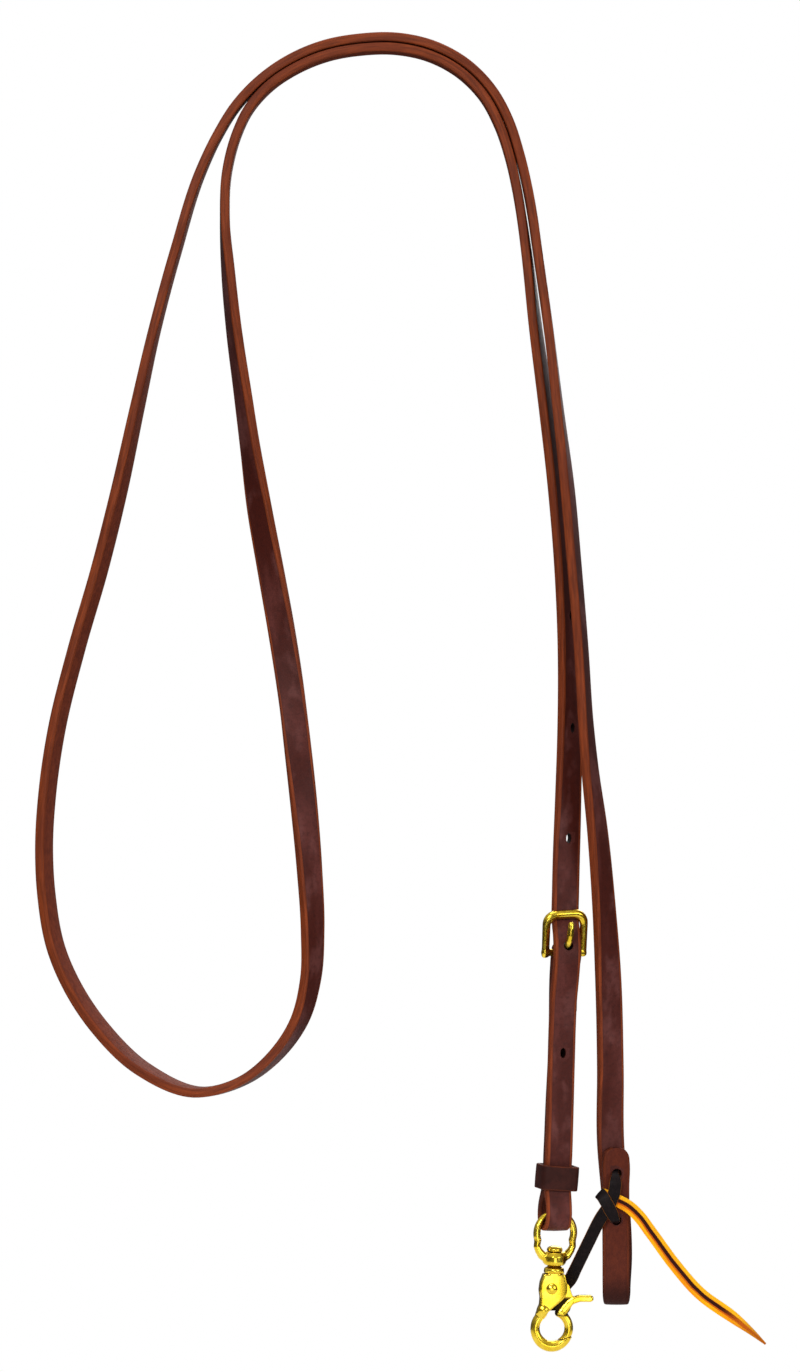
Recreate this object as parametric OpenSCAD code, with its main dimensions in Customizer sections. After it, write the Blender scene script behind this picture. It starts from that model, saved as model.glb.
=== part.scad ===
// One-piece leather roping rein, hanging over a round peg.
// Millimetres, +Z up. The viewer of the front looks along +Y and has +X to the right.
// The origin is the top of the peg, under the middle of the arch that the rein makes over it.

/* [Rein strap] */
// Width of the strap across its face
strap_w = 12.7; // [11:0.1:14]
// Thickness of the strap
strap_t = 4.6; // [3.6:0.1:4.8]
// Width of the bevel along the strap's edges
strap_bevel = 1.0; // [0.4:0.1:1.4]
// Diameter of the spare buckle holes
hole_d = 4.4; // [3:0.1:5]
// Distance between two buckle holes along the strap
hole_pitch = 53; // [50:0.5:56]
// Radius of the peg that the rein hangs over
peg_r = 76; // [75:0.5:77]

/* [Buckle] */
// Inside width of the buckle frame
buckle_inner_w = 16.4; // [15.8:0.1:17]
// Height of the buckle's top bar above its heel bar
buckle_h = 19.3; // [18.5:0.1:20]
// Diameter of the buckle frame's bar
buckle_bar_d = 3.2; // [3:0.1:3.6]
// Forward lean of the buckle frame on the heel bar, in degrees
buckle_lean = 12; // [11:0.5:14]

/* [Snap] */
// Radius of the snap eye's arch, at the middle of its wire
eye_r = 9.4; // [9.2:0.1:9.6]
// Diameter of the snap eye's wire
eye_wire_d = 3.5; // [3.2:0.1:3.6]
// Inside radius of the snap's hook ring
hook_inner_r = 5.8; // [5.6:0.1:6.2]
// Outside radius of the snap's hook ring
hook_outer_r = 10.4; // [10:0.1:11]
// How far the snap's body is turned on its swivel, in degrees
snap_turn = -14; // [-40:1:40]

/* [Keeper] */
// Height of the keeper along the strap
keeper_h = 11.5; // [9:0.5:13]
// Thickness of the keeper's leather
keeper_t = 2.0; // [1.5:0.1:2.4]

/* [Tie lace] */
// Width of the tie lace
lace_w = 6; // [5:0.1:6.4]
// Thickness of the tie lace
lace_t = 2; // [1.6:0.1:2.2]

/* [Hidden] */
$fn = 48;

// ---- the buckle end's own frame: x across the strap, y towards its back, z up the strap ----
end_origin = [91.3, 0, -432];
end_lean = 2;
end_turn = 18;

function end_turned(v) = [v.x * cos(end_turn) - v.y * sin(end_turn),
                          v.x * sin(end_turn) + v.y * cos(end_turn), v.z];
function end_tilted(v) = [v.x * cos(end_lean) + v.z * sin(end_lean), v.y,
                          -v.x * sin(end_lean) + v.z * cos(end_lean)];
function end_dir(v) = end_tilted(end_turned(v));
function end_point(p) = end_origin + end_dir(p);
end_side = end_dir([1, 0, 0]);

module at_buckle_end() translate(end_origin) rotate([0, end_lean, 0]) rotate([0, 0, end_turn]) children();

// ---- stations: place (3), side direction (3), width, thickness ----
function free_station(s) = [s[0], s[1], s[2], cos(s[3]), sin(s[3]), 0, strap_w, strap_t];
function free_stations(list) = [for (s = list) free_station(s)];
function end_station(x, y, z, w = strap_w, t = strap_t) = concat(end_point([x, y, z]), end_side, [w, t]);

// An arc over the peg from angle a0 to a1 about the vertical, at radius r, with the strap's heading
arch_x = -0.5;
function arch(r, a0, a1, steps, heading) = [for (i = [0 : steps]) let (a = a0 + (a1 - a0) * i / steps)
    free_station([arch_x + r * sin(a), 0, r * cos(a) - peg_r, heading])];
inner_r = peg_r + strap_t / 2;
layer_gap = 0.4;
outer_r = inner_r + strap_t + layer_gap;

// Tie end: rounded tip, front layer downwards, fold, back layer. x, y, z, heading, width factor
tie_tip = [[116.7, 6.1, -526.4, 192, 0.35], [116.7, 6.1, -527.4, 192, 0.66],
           [116.6, 6.1, -529.5, 192, 0.92], [116.6, 6.1, -532.5, 191, 1]];
tie_front = [[116.5, 6, -545, 188], [116.5, 5.5, -560, 184], [116.5, 3.6, -580, 181]];
tie_fold_r = 5.2;
tie_fold = [for (a = [180 : 30 : 360])
    [117 - 0.5 * cos(a - 180), 8 + tie_fold_r * cos(a), -594.8 + tie_fold_r * sin(a), 180]];
tie_back = [[118.2, 12.7, -580, 181], [117.4, 12, -560, 185], [115.8, 11.5, -543, 188],
    [114.4, 11.2, -527, 192]];

// Outer strand on the right, upwards: x, y, z, heading
outer_right = [[114, 8, -488, 204], [113, 4, -450, 208], [110.6, -1, -411, 224], [107.2, -5, -373, 235],
    [103.6, -7, -344, 245], [101.6, -8, -322, 251], [99.3, -8.5, -286, 253], [96.2, -8, -248, 253],
    [92.8, -7, -209, 254], [88.4, -5, -171, 262], [83.9, -3, -133, 267], [78.4, -1.5, -93.7, 269],
    [76.2, -1, -78.2, 270], [73.4, -0.6, -62.9, 270], [69.8, -0.3, -47.9, 270], [64.8, -0.1, -32.5, 270],
    [56.6, 0, -17.5, 270], [44.2, 0, -4.9, 270], [28.5, 0, 3.6, 270], [11.1, 0, 7.4, 270]];

// Loop on the left: down the outer side, round the bottom and up to the peg
loop_down = [[-83, 0, -56, 268], [-95, 0, -94, 266], [-105.5, 0, -133, 264], [-114, 0, -171, 258],
    [-122.5, 0, -210, 252], [-132, 0, -248, 250], [-143, 0, -286, 250], [-152.6, 0, -325, 250],
    [-156.9, 0, -354, 250], [-158.6, 0, -383, 250], [-157.5, 0, -404, 249], [-152.5, 0, -431, 248],
    [-143.5, 0, -451, 246], [-131, 0, -469, 244], [-111, 0, -488, 244], [-84, 0, -499, 250]];
loop_up = [[-62, 0, -493, 252], [-47, 0, -481, 247], [-36, 0, -465, 242], [-30.5, 0, -445, 236],
    [-29.5, 0, -421, 226], [-31, 0, -392, 217], [-33.5, 0, -363, 205], [-36.5, 0, -335, 190],
    [-40, 0, -306, 177], [-44.5, 0, -277, 164], [-49.7, 0, -248, 153], [-55, 0, -219, 143],
    [-59.4, 0, -190, 124], [-63.3, 0, -162, 116], [-67.3, 0, -133, 110], [-70.2, 0, -104, 104],
    [-71.7, 0, -80, 94], [-70.5, 0, -56, 90], [-65.3, 0, -37, 90], [-61.3, 0, -28.5, 90]];

// Inner strand on the right, downwards to the buckle: x, y, z, heading
inner_right = [[10.6, 0, 2.4, 90], [26.8, 0, -1.1, 90], [41.2, 0, -8.9, 90], [52.6, 0, -20.4, 90],
    [60.2, 0.1, -34.5, 90], [65.1, 0.3, -49.2, 89], [68.5, 0.6, -63.9, 88], [71.1, 1, -79, 86],
    [73.3, 1.5, -94.3, 83], [78, 2.5, -133, 76], [83.2, 3.5, -171, 70], [88, 4, -209, 64],
    [91.7, 4, -248, 57], [93.8, 4, -286, 49], [94.2, 3.5, -324, 39], [93.4, 2.5, -360, 28]];

// Buckle end in its own frame, downwards at the front: x, y, z
end_front = [[0.3, 2.0, 44], [0.4, 1.7, 27], [0.3, 1.1, 19], [0, -0.8, 14], [-0.6, -4.3, 9.3],
             [-1.2, -7.2, 4], [-1.3, -7.9, -3], [-1.2, -6.6, -12], [-1.1, -4.6, -22], [-0.9, -3.7, -34],
             [-0.6, -3.2, -52], [-0.2, -2.65, -72], [0, -2.6, -95], [0, -2.6, -114.5]];
// The fold round the snap eye, where the leather is pressed thinner
folded_t = 3.0;
eye_pivot_z = -126.5;
eye_fold_r = 5.9;
end_fold = concat([[0, -5.3, -121]],
    [for (a = [180 : 30 : 360]) [0, eye_fold_r * cos(a), eye_pivot_z + eye_fold_r * sin(a)]],
    [[0, 5.3, -121]]);
end_back = [[0.5, 2.6, -114.5], [1, 2.6, -95], [1.2, 2.65, -72], [1.8, 3.4, -52], [2, 4.3, -34],
            [1.6, 4.3, -9]];
// The last stretch is skived thin, wraps over the heel bar and is sewn inside the back layer
skived_t = 2.6;
heel_bar_r = 1.7;
wrap_gap = 0.3;
wrap_r = heel_bar_r + wrap_gap + skived_t / 2;
wrap_x = 1.2;
end_wrap = [for (a = [0 : 30 : 180]) [wrap_x, wrap_r * cos(a), wrap_r * sin(a)]];
end_tuck = [[wrap_x, -2.6, -4], [wrap_x, -0.6, -8.5], [wrap_x, 0.45, -13], [wrap_x, 0.45, -28]];

strap_stations = concat(
    [for (s = tie_tip) [s[0], s[1], s[2], cos(s[3]), sin(s[3]), 0, strap_w * s[4], strap_t]],
    free_stations(concat(tie_front, tie_fold, tie_back, outer_right)),
    arch(outer_r, -4, -64, 5, 270),
    free_stations(concat(loop_down, loop_up)),
    arch(inner_r, -40, -4, 3, 90),
    free_stations(inner_right),
    [for (p = end_front) end_station(p.x, p.y, p.z)],
    [for (p = end_fold) end_station(p.x, p.y, p.z, strap_w, folded_t)],
    [for (p = end_back) end_station(p.x, p.y, p.z)],
    [for (p = concat(end_wrap, end_tuck)) end_station(p.x, p.y, p.z, strap_w, skived_t)]);

// Tie lace: left tail, up into the upper hole, down the back, out of the lower hole, over and under
// itself, right tail. x, y, z, side direction, width factor, thickness factor
pinch_w = 0.5;
pinch_t = 1.35;
lace_points = [
    [92.2, 9.4, -594.3, -0.91, 0, 0.4, 0.6, 1], [94.4, 8.4, -590.7, -0.91, 0, 0.4, 1, 1],
    [97.5, 6.2, -584, -0.91, 0, 0.4, 1, 1],
    [103.5, 2.8, -571, -0.9, 0, 0.44, 1, 1], [109, -0.4, -559.5, -0.86, 0, 0.5, 1, 1],
    [113.2, -0.6, -553, -0.86, 0, 0.5, 1, 1], [115.6, -0.4, -546.5, -0.96, 0, 0.28, 1, 1],
    [116.1, 0.2, -541.8, -1, 0, 0, 0.92, 1.1], [116.1, 2.6, -539, -1, 0, 0, pinch_w, pinch_t],
    [116.1, 8.6, -538.7, -1, 0, 0, pinch_w, pinch_t], [116.1, 14.1, -539, -1, 0, 0, pinch_w, pinch_t],
    [116.2, 15.7, -542, -1, 0, 0, 0.75, 1], [116.2, 16, -550, -1, 0, 0, 0.9, 1],
    [116.3, 15.8, -557.5, -1, 0, 0, 0.75, 1], [116.3, 14.4, -560.6, -1, 0, 0, pinch_w, pinch_t],
    [116.3, 8.6, -561, -1, 0, 0, pinch_w, pinch_t], [116.3, 1.6, -561, -1, 0, 0, pinch_w, pinch_t],
    [115.8, -1.8, -560, -0.95, 0, -0.3, 0.75, 1.1], [113.7, -3.2, -555.9, -0.87, 0, -0.49, 1, 1],
    [111.6, -3.1, -552, -0.87, 0, -0.49, 1, 1], [109.6, -2, -548.7, -0.82, 0, -0.57, 1, 1],
    [108.7, -0.4, -547.8, -0.65, 0, -0.76, 1, 1], [110, 1.2, -548.4, -0.45, 0, -0.89, 1, 1],
    [113.6, 1.8, -549.9, -0.38, 0, -0.92, 1, 1], [118.3, 1.8, -551.9, -0.38, 0, -0.92, 1, 1],
    [123, 1.5, -554.6, -0.5, 0, -0.87, 1, 1], [126.6, 1, -557.9, -0.7, 0, -0.71, 1, 1],
    [133.4, 0, -566.8, -0.8, 0, -0.6, 1, 1], [144.2, -1, -581.5, -0.77, 0, -0.64, 1, 1],
    [156.4, -2, -595.3, -0.72, 0, -0.7, 1, 1], [173, -3, -607.3, -0.62, 0, -0.78, 0.92, 1],
    [181, -3, -613.6, -0.62, 0, -0.78, 0.55, 0.9], [188, -3, -619.7, -0.62, 0, -0.78, 0.16, 0.7]];
lace_stations = [for (s = lace_points)
    [s[0], s[1], s[2], s[3], s[4], s[5], lace_w * s[6], lace_t * s[7]]];

// ---- sweeping a bevelled flat section along stations ----
function place(s) = [s[0], s[1], s[2]];
function side(s) = [s[3], s[4], s[5]];
function unit(v) = v / norm(v);
function gap(list, i) = norm(place(list[i + 1]) - place(list[i]));
function rate(list, i) = (list[i + 1] - list[i]) / gap(list, i);
function slope(list, i) = let (last = len(list) - 1)
    i == 0 ? rate(list, 0) :
    i == last ? rate(list, last - 1) :
    (rate(list, i - 1) * gap(list, i) + rate(list, i) * gap(list, i - 1)) / (gap(list, i - 1) + gap(list, i));

// Forward direction at station i; the section's plane is square to it
function forward(list, i) = unit(place(slope(list, i)));

function section(s, ahead, bevel) =
    let (across = unit(side(s) - ahead * (side(s) * ahead)),
         up = cross(ahead, across),
         w = s[6] / 2, t = s[7] / 2, b = min(bevel, w * 0.6, t * 0.6),
         right = [[w - b, t], [w, t - b], [w, b - t], [w - b, -t]],
         left = [[b - w, -t], [-w, b - t], [-w, t - b], [b - w, t]])
    [for (c = concat(right, left)) place(s) + across * c[0] + up * c[1]];

module swept(list, bevel) {
    rings = [for (i = [0 : len(list) - 1]) section(list[i], forward(list, i), bevel)];
    sides = len(rings[0]);
    points = [for (r = rings) each r];
    last = len(points) - sides;
    walls = [for (i = [0 : len(rings) - 2]) for (j = [0 : sides - 1])
        let (a = i * sides + j, b = i * sides + (j + 1) % sides)
        each [[a, b, b + sides], [a, b + sides, a + sides]]];
    start_cap = [for (j = [1 : sides - 2]) [0, j + 1, j]];
    end_cap = [for (j = [1 : sides - 2]) [last, last + j, last + j + 1]];
    polyhedron(points = points, faces = concat(walls, start_cap, end_cap), convexity = 10);
}

// ---- small building blocks ----
// A round bar from p to q
module bar(p, q, r) {
    d = q - p;
    translate(p) rotate([0, acos(d.z / norm(d)), atan2(d.y, d.x)]) cylinder(h = norm(d), r = r);
}
// A ball at p
module ball(p, r) translate(p) sphere(r = r);
// A chain of round bars through a list of points, with a ball at each
module rod(points, r) {
    for (i = [0 : len(points) - 2]) bar(points[i], points[i + 1], r);
    for (p = points) ball(p, r);
}
// A stretch of ring in the XZ plane about a centre, from angle a0 to a0 + sweep above +X
module ring_arc(centre, ring_r, wire_r, a0, sweep)
    translate(centre) rotate([90, 0, 0]) rotate([0, 0, a0])
        rotate_extrude(angle = sweep) translate([ring_r, 0]) circle(r = wire_r);
// A cylinder along Y from y0 to y1 at x, z
module along_y(x, z, y0, y1, r)
    translate([x, y0, z]) rotate([-90, 0, 0]) cylinder(h = y1 - y0, r = r);
// A cylinder along X centred at x = 0
module along_x(y, z, length, r)
    translate([-length / 2, y, z]) rotate([0, 90, 0]) cylinder(h = length, r = r);
// A rectangle with round corners
module round_rect(w, h, r) {
    square([w - 2 * r, h], center = true);
    square([w, h - 2 * r], center = true);
    for (x = [-1, 1], y = [-1, 1]) translate([x * (w / 2 - r), y * (h / 2 - r)]) circle(r = r);
}

// ---- rein strap ----
tongue_hole_z = 3.5;
tongue_hole_x = -1.3;
tongue_hole_r = 2.7;
slot_half_w = 2.3;
slot_r = 5.0;
slot_drop = 4.5;
slot_x = 0.3;
slot_depth = 12;
lace_hole_r = 1.9;
lace_hole_x = 116.2;
lace_hole_zs = [-538.7, -561];
lace_drill = [0, 16];
tongue_drill = [-13, -3.6];

// Spare holes of the buckle strap: one below the buckle, in the buckle end's frame
low_hole_x = -0.7;
low_hole_z = -47.8;
// and three above it, where the strap turns as it hangs: x and heading of each, upwards
upper_holes = [[93.3, 27], [94.2, 39], [93.6, 52]];
first_upper_z = -376.5;
upper_hole_y = 4;
upper_drill = [-7, 6];
low_drill = [-12, 0];

module spare_holes() {
    at_buckle_end() along_y(low_hole_x, low_hole_z, low_drill[0], low_drill[1], hole_d / 2);
    for (i = [0 : len(upper_holes) - 1])
        translate([upper_holes[i][0], upper_hole_y, first_upper_z + i * hole_pitch])
            rotate([0, 0, upper_holes[i][1]]) along_y(0, 0, upper_drill[0], upper_drill[1], hole_d / 2);
}
module tongue_slot() at_buckle_end() {
    translate([slot_x, 0, 0]) {
        along_x(0, 0, 2 * slot_half_w, slot_r);
        translate([-slot_half_w, -slot_r, -slot_drop]) cube([2 * slot_half_w, slot_depth, slot_drop]);
    }
}
module lace_holes()
    for (z = lace_hole_zs) along_y(lace_hole_x, z, lace_drill[0], lace_drill[1], lace_hole_r);

module rein_strap() color([0.33, 0.14, 0.11]) difference() {
    swept(strap_stations, strap_bevel);
    at_buckle_end()
        along_y(tongue_hole_x, tongue_hole_z, tongue_drill[0], tongue_drill[1], tongue_hole_r);
    spare_holes();
    tongue_slot();
    lace_holes();
}

// ---- keeper ----
keeper_z = -108;
keeper_x = 0.4;
keeper_inner_w = strap_w + 2.4;
keeper_inner_d = 2 * (2.6 + strap_t / 2) + 0.7;
keeper_corner_r = 1.2;

module keeper() color([0.27, 0.18, 0.15]) at_buckle_end() translate([keeper_x, 0, keeper_z - keeper_h / 2])
    linear_extrude(keeper_h) difference() {
        round_rect(keeper_inner_w + 2 * keeper_t, keeper_inner_d + 2 * keeper_t, keeper_corner_r + keeper_t);
        round_rect(keeper_inner_w, keeper_inner_d, keeper_corner_r);
    }

// Three short stitches across the keeper's lap, on its back
keeper_stitch_r = 0.45;
keeper_stitch_half = 1.6;
module keeper_stitches() color([0.75, 0.66, 0.5]) at_buckle_end()
    for (z = [-3, 0, 3]) translate([keeper_x, keeper_inner_d / 2 + keeper_t, keeper_z + z])
        rod([[-keeper_stitch_half, 0, 0], [keeper_stitch_half, 0, 0]], keeper_stitch_r);

// ---- tie lace ----
lace_bevel = 0.5;
module tie_lace() color([0.2, 0.13, 0.13]) swept(lace_stations, lace_bevel);

// ---- buckle ----
buckle_wire_r = buckle_bar_d / 2;
buckle_leg_x = buckle_inner_w / 2 + buckle_wire_r;
buckle_corner_r = 5;
buckle_leg_drop = 0.6;
buckle_sway = -4;

module buckle_frame() color([0.8, 0.62, 0.2]) at_buckle_end() {
    along_x(0, 0, 2 * buckle_leg_x, heel_bar_r);
    rotate([buckle_lean, 0, 0]) rotate([0, buckle_sway, 0]) {
        straight = buckle_h - buckle_corner_r;
        along_x(0, buckle_h, 2 * (buckle_leg_x - buckle_corner_r), buckle_wire_r);
        for (s = [-1, 1]) {
            bar([s * buckle_leg_x, 0, -buckle_leg_drop], [s * buckle_leg_x, 0, straight], buckle_wire_r);
            ball([s * buckle_leg_x, 0, -buckle_leg_drop], buckle_wire_r);
            ring_arc([s * (buckle_leg_x - buckle_corner_r), 0, straight], buckle_corner_r, buckle_wire_r,
                     s > 0 ? 0 : 90, 90);
        }
    }
}

tongue_r = 1.35;
tongue_eye_r = 4.0;
tongue_eye_w = 3.6;
heel_bar_fit = 0.05;
tongue_bevel = 0.7;
// Along the tongue's middle from its eye to its tip
tongue_points = [[-0.4, -2.2, 1.8], [-1, -5.5, 2.9], [-1.6, -8.2, 3.6], [-1.8, -10.2, 4.6],
                 [-1.8, -11.8, 6.6], [-1.75, -12.8, 9.2], [-1.7, -13.4, 12.4], [-1.65, -13.5, 14.4]];

module buckle_tongue() color([0.85, 0.68, 0.25]) at_buckle_end() difference() {
    union() {
        along_x(0, 0, tongue_eye_w, tongue_eye_r);
        swept([for (p = tongue_points) concat(p, [1, 0, 0, 2 * tongue_r, 2 * tongue_r])], tongue_bevel);
    }
    along_x(0, 0, 2 * tongue_eye_w, heel_bar_r + heel_bar_fit);
}

// Two rows of thread through the back layer and the tucked end
stitch_r = 0.5;
stitch_pitch = 4.2;
stitch_length = 2.8;
stitch_top_z = -12;
stitch_back_y = 6.6;
module buckle_stitches() color([0.75, 0.66, 0.5]) at_buckle_end()
    for (x = [-2.7, 5.9], i = [0 : 3]) translate([x, stitch_back_y, stitch_top_z - i * stitch_pitch])
        rod([[0, 0, 0], [0, 0, -stitch_length]], stitch_r);

// ---- snap ----
// Heights in the buckle end's frame
eye_centre_z = -134.8;
hub_top_z = -143.8;
hub_bottom_z = -150.2;
snap_x = 0.6;
hub_r = 5.6;
stem_r = 2.2;
stem_fit = 0.05;
head_r = 3.8;
head_gap = 0.15;
collar_r = 4.9;
eye_wire_r = eye_wire_d / 2;
eye_arc_end = 20;
eye_web_t = eye_wire_d + 0.2;

// Outline of the web between the arch and the hub, on the right: x, z
eye_leg = [[10.7, -137.6], [10.6, -141.2], [9.3, -143.8], [7.2, -147], [4.6, -149.2], [4, -147], [4, -144.6],
           [4.8, -143.9], [7, -142], [7.6, -140], [7.5, -137.6]];

module snap_eye() color([0.83, 0.66, 0.22]) at_buckle_end() translate([snap_x, 0, 0]) difference() {
    union() {
        ring_arc([0, 0, eye_centre_z], eye_r, eye_wire_r, -eye_arc_end, 180 + 2 * eye_arc_end);
        for (s = [-1, 1]) translate([0, eye_web_t / 2, 0]) rotate([90, 0, 0]) linear_extrude(eye_web_t)
            polygon([for (p = eye_leg) [s * p.x, p.y]]);
        translate([0, 0, hub_bottom_z]) rotate_extrude() polygon([[0, 0], [hub_r - 1, 0], [hub_r, 1.2],
            [hub_r, 4.6], [hub_r - 1.4, hub_top_z - hub_bottom_z], [0, hub_top_z - hub_bottom_z]]);
    }
    translate([0, 0, hub_bottom_z - 1])
        cylinder(h = hub_top_z - hub_bottom_z + 2, r = stem_r + stem_fit);
}

// The snap's body, gate, rivet and spring turn together on the swivel
module on_swivel() at_buckle_end() translate([snap_x, 0, 0]) rotate([0, 0, snap_turn]) children();

rivet_x = -1.1;
rivet_z = -161.3;
rivet_r = 1.5;
rivet_fit = 0.05;
body_t = 7;
slot_t = 4.4;
hook_z = -180.6;
hook_x = 0;
hook_ring_r = (hook_inner_r + hook_outer_r) / 2;
hook_wire_r = (hook_outer_r - hook_inner_r) / 2;
jaw_tip_angle = -16;
jaw_root_angle = 130;
// The gate's end and the jaw's tip meet on a circle round the rivet
meet_r = 25;
meet_gap = 0.2;
// The gate closes the ring from here to the right, up to this height above the ring's middle
meet_left_x = -2.2;
meet_w = 20;
meet_rise = 8;

// Outline of the body plate: shoulders, widest at the rivet, slanted foot, heel of the hook
heel_centre = [-4.6, -172];
heel_r = 3.4;
module plate_outline() difference() {
    union() {
        polygon([[-4.4, -152.6], [4.4, -152.6], [5.5, -155], [6.4, -158.6], [6.7, -162], [6.2, -164.4],
                 [4.6, -166.6], [1.8, -169.1], [-1.4, -171.9], [-4, -174.4], [-5.5, -174.6], [-8, -173.6],
                 [-6.6, -169.6], [-6.4, -166], [-7, -162.4], [-6.6, -158.6], [-5.4, -155]]);
        translate(heel_centre) circle(r = heel_r);
    }
    translate([hook_x, hook_z]) circle(r = hook_inner_r);
}

// The cheek behind the gate reaches further down than the front one
module back_cheek() translate([0, body_t / 2, 0]) rotate([90, 0, 0]) linear_extrude(body_t / 2)
    polygon([[-5, -166], [5.2, -165.4], [4.2, -169.6], [1.2, -173.4], [-4, -174.4]]);

// Turned outline of collar, swivel stem and peened head: radius and height above the collar's foot
collar_z = -153.4;
stem_low = hub_bottom_z - head_gap - collar_z;
stem_high = hub_top_z + head_gap - collar_z;
stem_outline = [[0, 0], [collar_r - 0.3, 0], [collar_r, 1], [collar_r - 0.2, 2], [3.4, stem_low],
                [stem_r, stem_low], [stem_r, stem_high], [head_r, stem_high], [head_r, stem_high + 1.25],
                [3.3, stem_high + 2.05], [2.2, stem_high + 2.55], [0, stem_high + 2.65]];

module snap_body() color([0.83, 0.66, 0.22]) on_swivel() difference() {
    union() {
        translate([0, body_t / 2, 0]) rotate([90, 0, 0]) linear_extrude(body_t) plate_outline();
        back_cheek();
        ring_arc([hook_x, 0, hook_z], hook_ring_r, hook_wire_r, jaw_root_angle,
                 360 + jaw_tip_angle - jaw_root_angle);
        translate([0, 0, collar_z]) rotate_extrude() polygon(stem_outline);
    }
    translate([0, slot_t / 2, 0]) rotate([90, 0, 0]) linear_extrude(slot_t)
        polygon([[-5.4, -155.8], [12, -155.8], [12, -178], [-2.6, -178], [-2.6, -170.5], [-5.4, -166.4]]);
    along_y(rivet_x, rivet_z, -body_t, body_t, rivet_r);
    intersection() {
        along_y(rivet_x, rivet_z, -body_t, body_t, meet_r + meet_gap);
        translate([meet_left_x, -body_t, hook_z - hook_outer_r])
            cube([meet_w, 2 * body_t, hook_outer_r + meet_rise]);
    }
}

gate_t = 2.2;
gate_y = -0.7;
gate_hub_r = 4.0;
gate_wire_r = 2.05;
lever_t = 3.2;

// Gate: hub on the rivet, arm down to the ring, curved jaw and trigger lever
module snap_gate() color([0.86, 0.7, 0.26]) on_swivel() difference() {
    union() {
        along_y(rivet_x, rivet_z, gate_y - gate_t / 2, gate_y + gate_t / 2, gate_hub_r);
        translate([0, gate_y + gate_t / 2, 0]) rotate([90, 0, 0]) linear_extrude(gate_t)
            polygon([[1.6, -158.4], [6.4, -158.6], [7.4, -159.6], [9, -164], [9.8, -165.2], [9.6, -167],
                     [8.2, -171.8], [6, -174.6], [2.6, -172.6], [-2.8, -164.9]]);
        intersection() {
            ring_arc([hook_x, 0, hook_z], hook_ring_r, gate_wire_r, -75, 142);
            along_y(rivet_x, rivet_z, -body_t, body_t, meet_r);
        }
        translate([0, lever_t / 2, 0]) rotate([90, 0, 0]) linear_extrude(lever_t)
            polygon([[2.6, -173.4], [4.6, -170.2], [7, -167.3], [9.8, -165.2], [12.4, -164.4], [18.3, -164.3],
                     [19.4, -165], [19.4, -166.6], [18.3, -167.4], [13, -167.5], [10, -168.6], [7.8, -170.6],
                     [6.4, -172.8], [5, -173.8]]);
    }
    along_y(rivet_x, rivet_z, -body_t, body_t, rivet_r + rivet_fit);
}

// Rivet with a dome on each side of the body
rivet_head_r = 2.8;
rivet_dome = [[0, 0], [rivet_head_r, 0], [rivet_head_r - 0.3, 0.7], [1.6, 1.3], [0, 1.5]];
rivet_into_dome = 0.2;
rivet_end_y = body_t / 2 + rivet_into_dome;
module snap_rivet() color([0.88, 0.73, 0.3]) on_swivel() {
    along_y(rivet_x, rivet_z, -rivet_end_y, rivet_end_y, rivet_r);
    for (s = [-1, 1]) translate([rivet_x, s * (body_t / 2), rivet_z]) rotate([-90 * s, 0, 0])
        rotate_extrude() polygon(rivet_dome);
}

// Torsion spring beside the gate, wound round the rivet
spring_wire_r = 0.35;
spring_r = 2.3;
spring_y = 0.95;
spring_turns = 1.2;
spring_steps = 24;
spring_path = [for (i = [0 : spring_steps]) let (a = 90 + 360 * spring_turns * i / spring_steps)
    [rivet_x + spring_r * cos(a), spring_y + 0.75 * i / spring_steps, rivet_z + spring_r * sin(a),
     0, 1, 0, 2 * spring_wire_r, 2 * spring_wire_r]];
module gate_spring() color([0.6, 0.6, 0.62]) on_swivel() swept(spring_path, 0.2);

rein_strap();
keeper();
keeper_stitches();
tie_lace();
buckle_frame();
buckle_tongue();
buckle_stitches();
snap_eye();
snap_body();
snap_gate();
snap_rivet();
gate_spring();
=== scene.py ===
"""Looks of the leather roping rein: strap, keeper, tie lace, brass buckle and brass swivel snap."""
import math

import bpy
import numpy as np
import openvdb
from mathutils import Matrix, Vector


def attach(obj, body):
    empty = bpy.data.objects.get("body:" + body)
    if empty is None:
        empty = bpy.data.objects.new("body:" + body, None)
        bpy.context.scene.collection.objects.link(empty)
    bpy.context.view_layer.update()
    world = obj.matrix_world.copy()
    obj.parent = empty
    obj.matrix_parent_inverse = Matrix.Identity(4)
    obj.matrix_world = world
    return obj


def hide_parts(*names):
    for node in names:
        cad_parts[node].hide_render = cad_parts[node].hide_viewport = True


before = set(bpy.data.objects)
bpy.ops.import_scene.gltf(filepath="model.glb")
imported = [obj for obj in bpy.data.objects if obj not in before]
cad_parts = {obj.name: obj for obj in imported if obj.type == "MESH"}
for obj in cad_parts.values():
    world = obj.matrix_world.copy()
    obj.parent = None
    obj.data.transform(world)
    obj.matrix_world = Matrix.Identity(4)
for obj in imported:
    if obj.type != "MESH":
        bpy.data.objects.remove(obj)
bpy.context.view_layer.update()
scene = bpy.context.scene
MM = 0.001

# ---- camera
CAMERA_DISTANCE = 2.2
PICTURE_HEIGHT = 0.6596  # metres shown along the long side at the strap's plane
PICTURE_CENTRE = (0.0125, -0.3038)
SENSOR = 36.0

camera_data = bpy.data.cameras.new("camera")
camera_data.sensor_width = SENSOR
camera_data.lens = CAMERA_DISTANCE * SENSOR / PICTURE_HEIGHT
camera = bpy.data.objects.new("camera", camera_data)
scene.collection.objects.link(camera)
camera.location = (PICTURE_CENTRE[0], -CAMERA_DISTANCE, PICTURE_CENTRE[1])
camera.rotation_euler = (math.radians(90), 0, 0)
scene.camera = camera
scene.view_settings.view_transform = "Standard"

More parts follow.
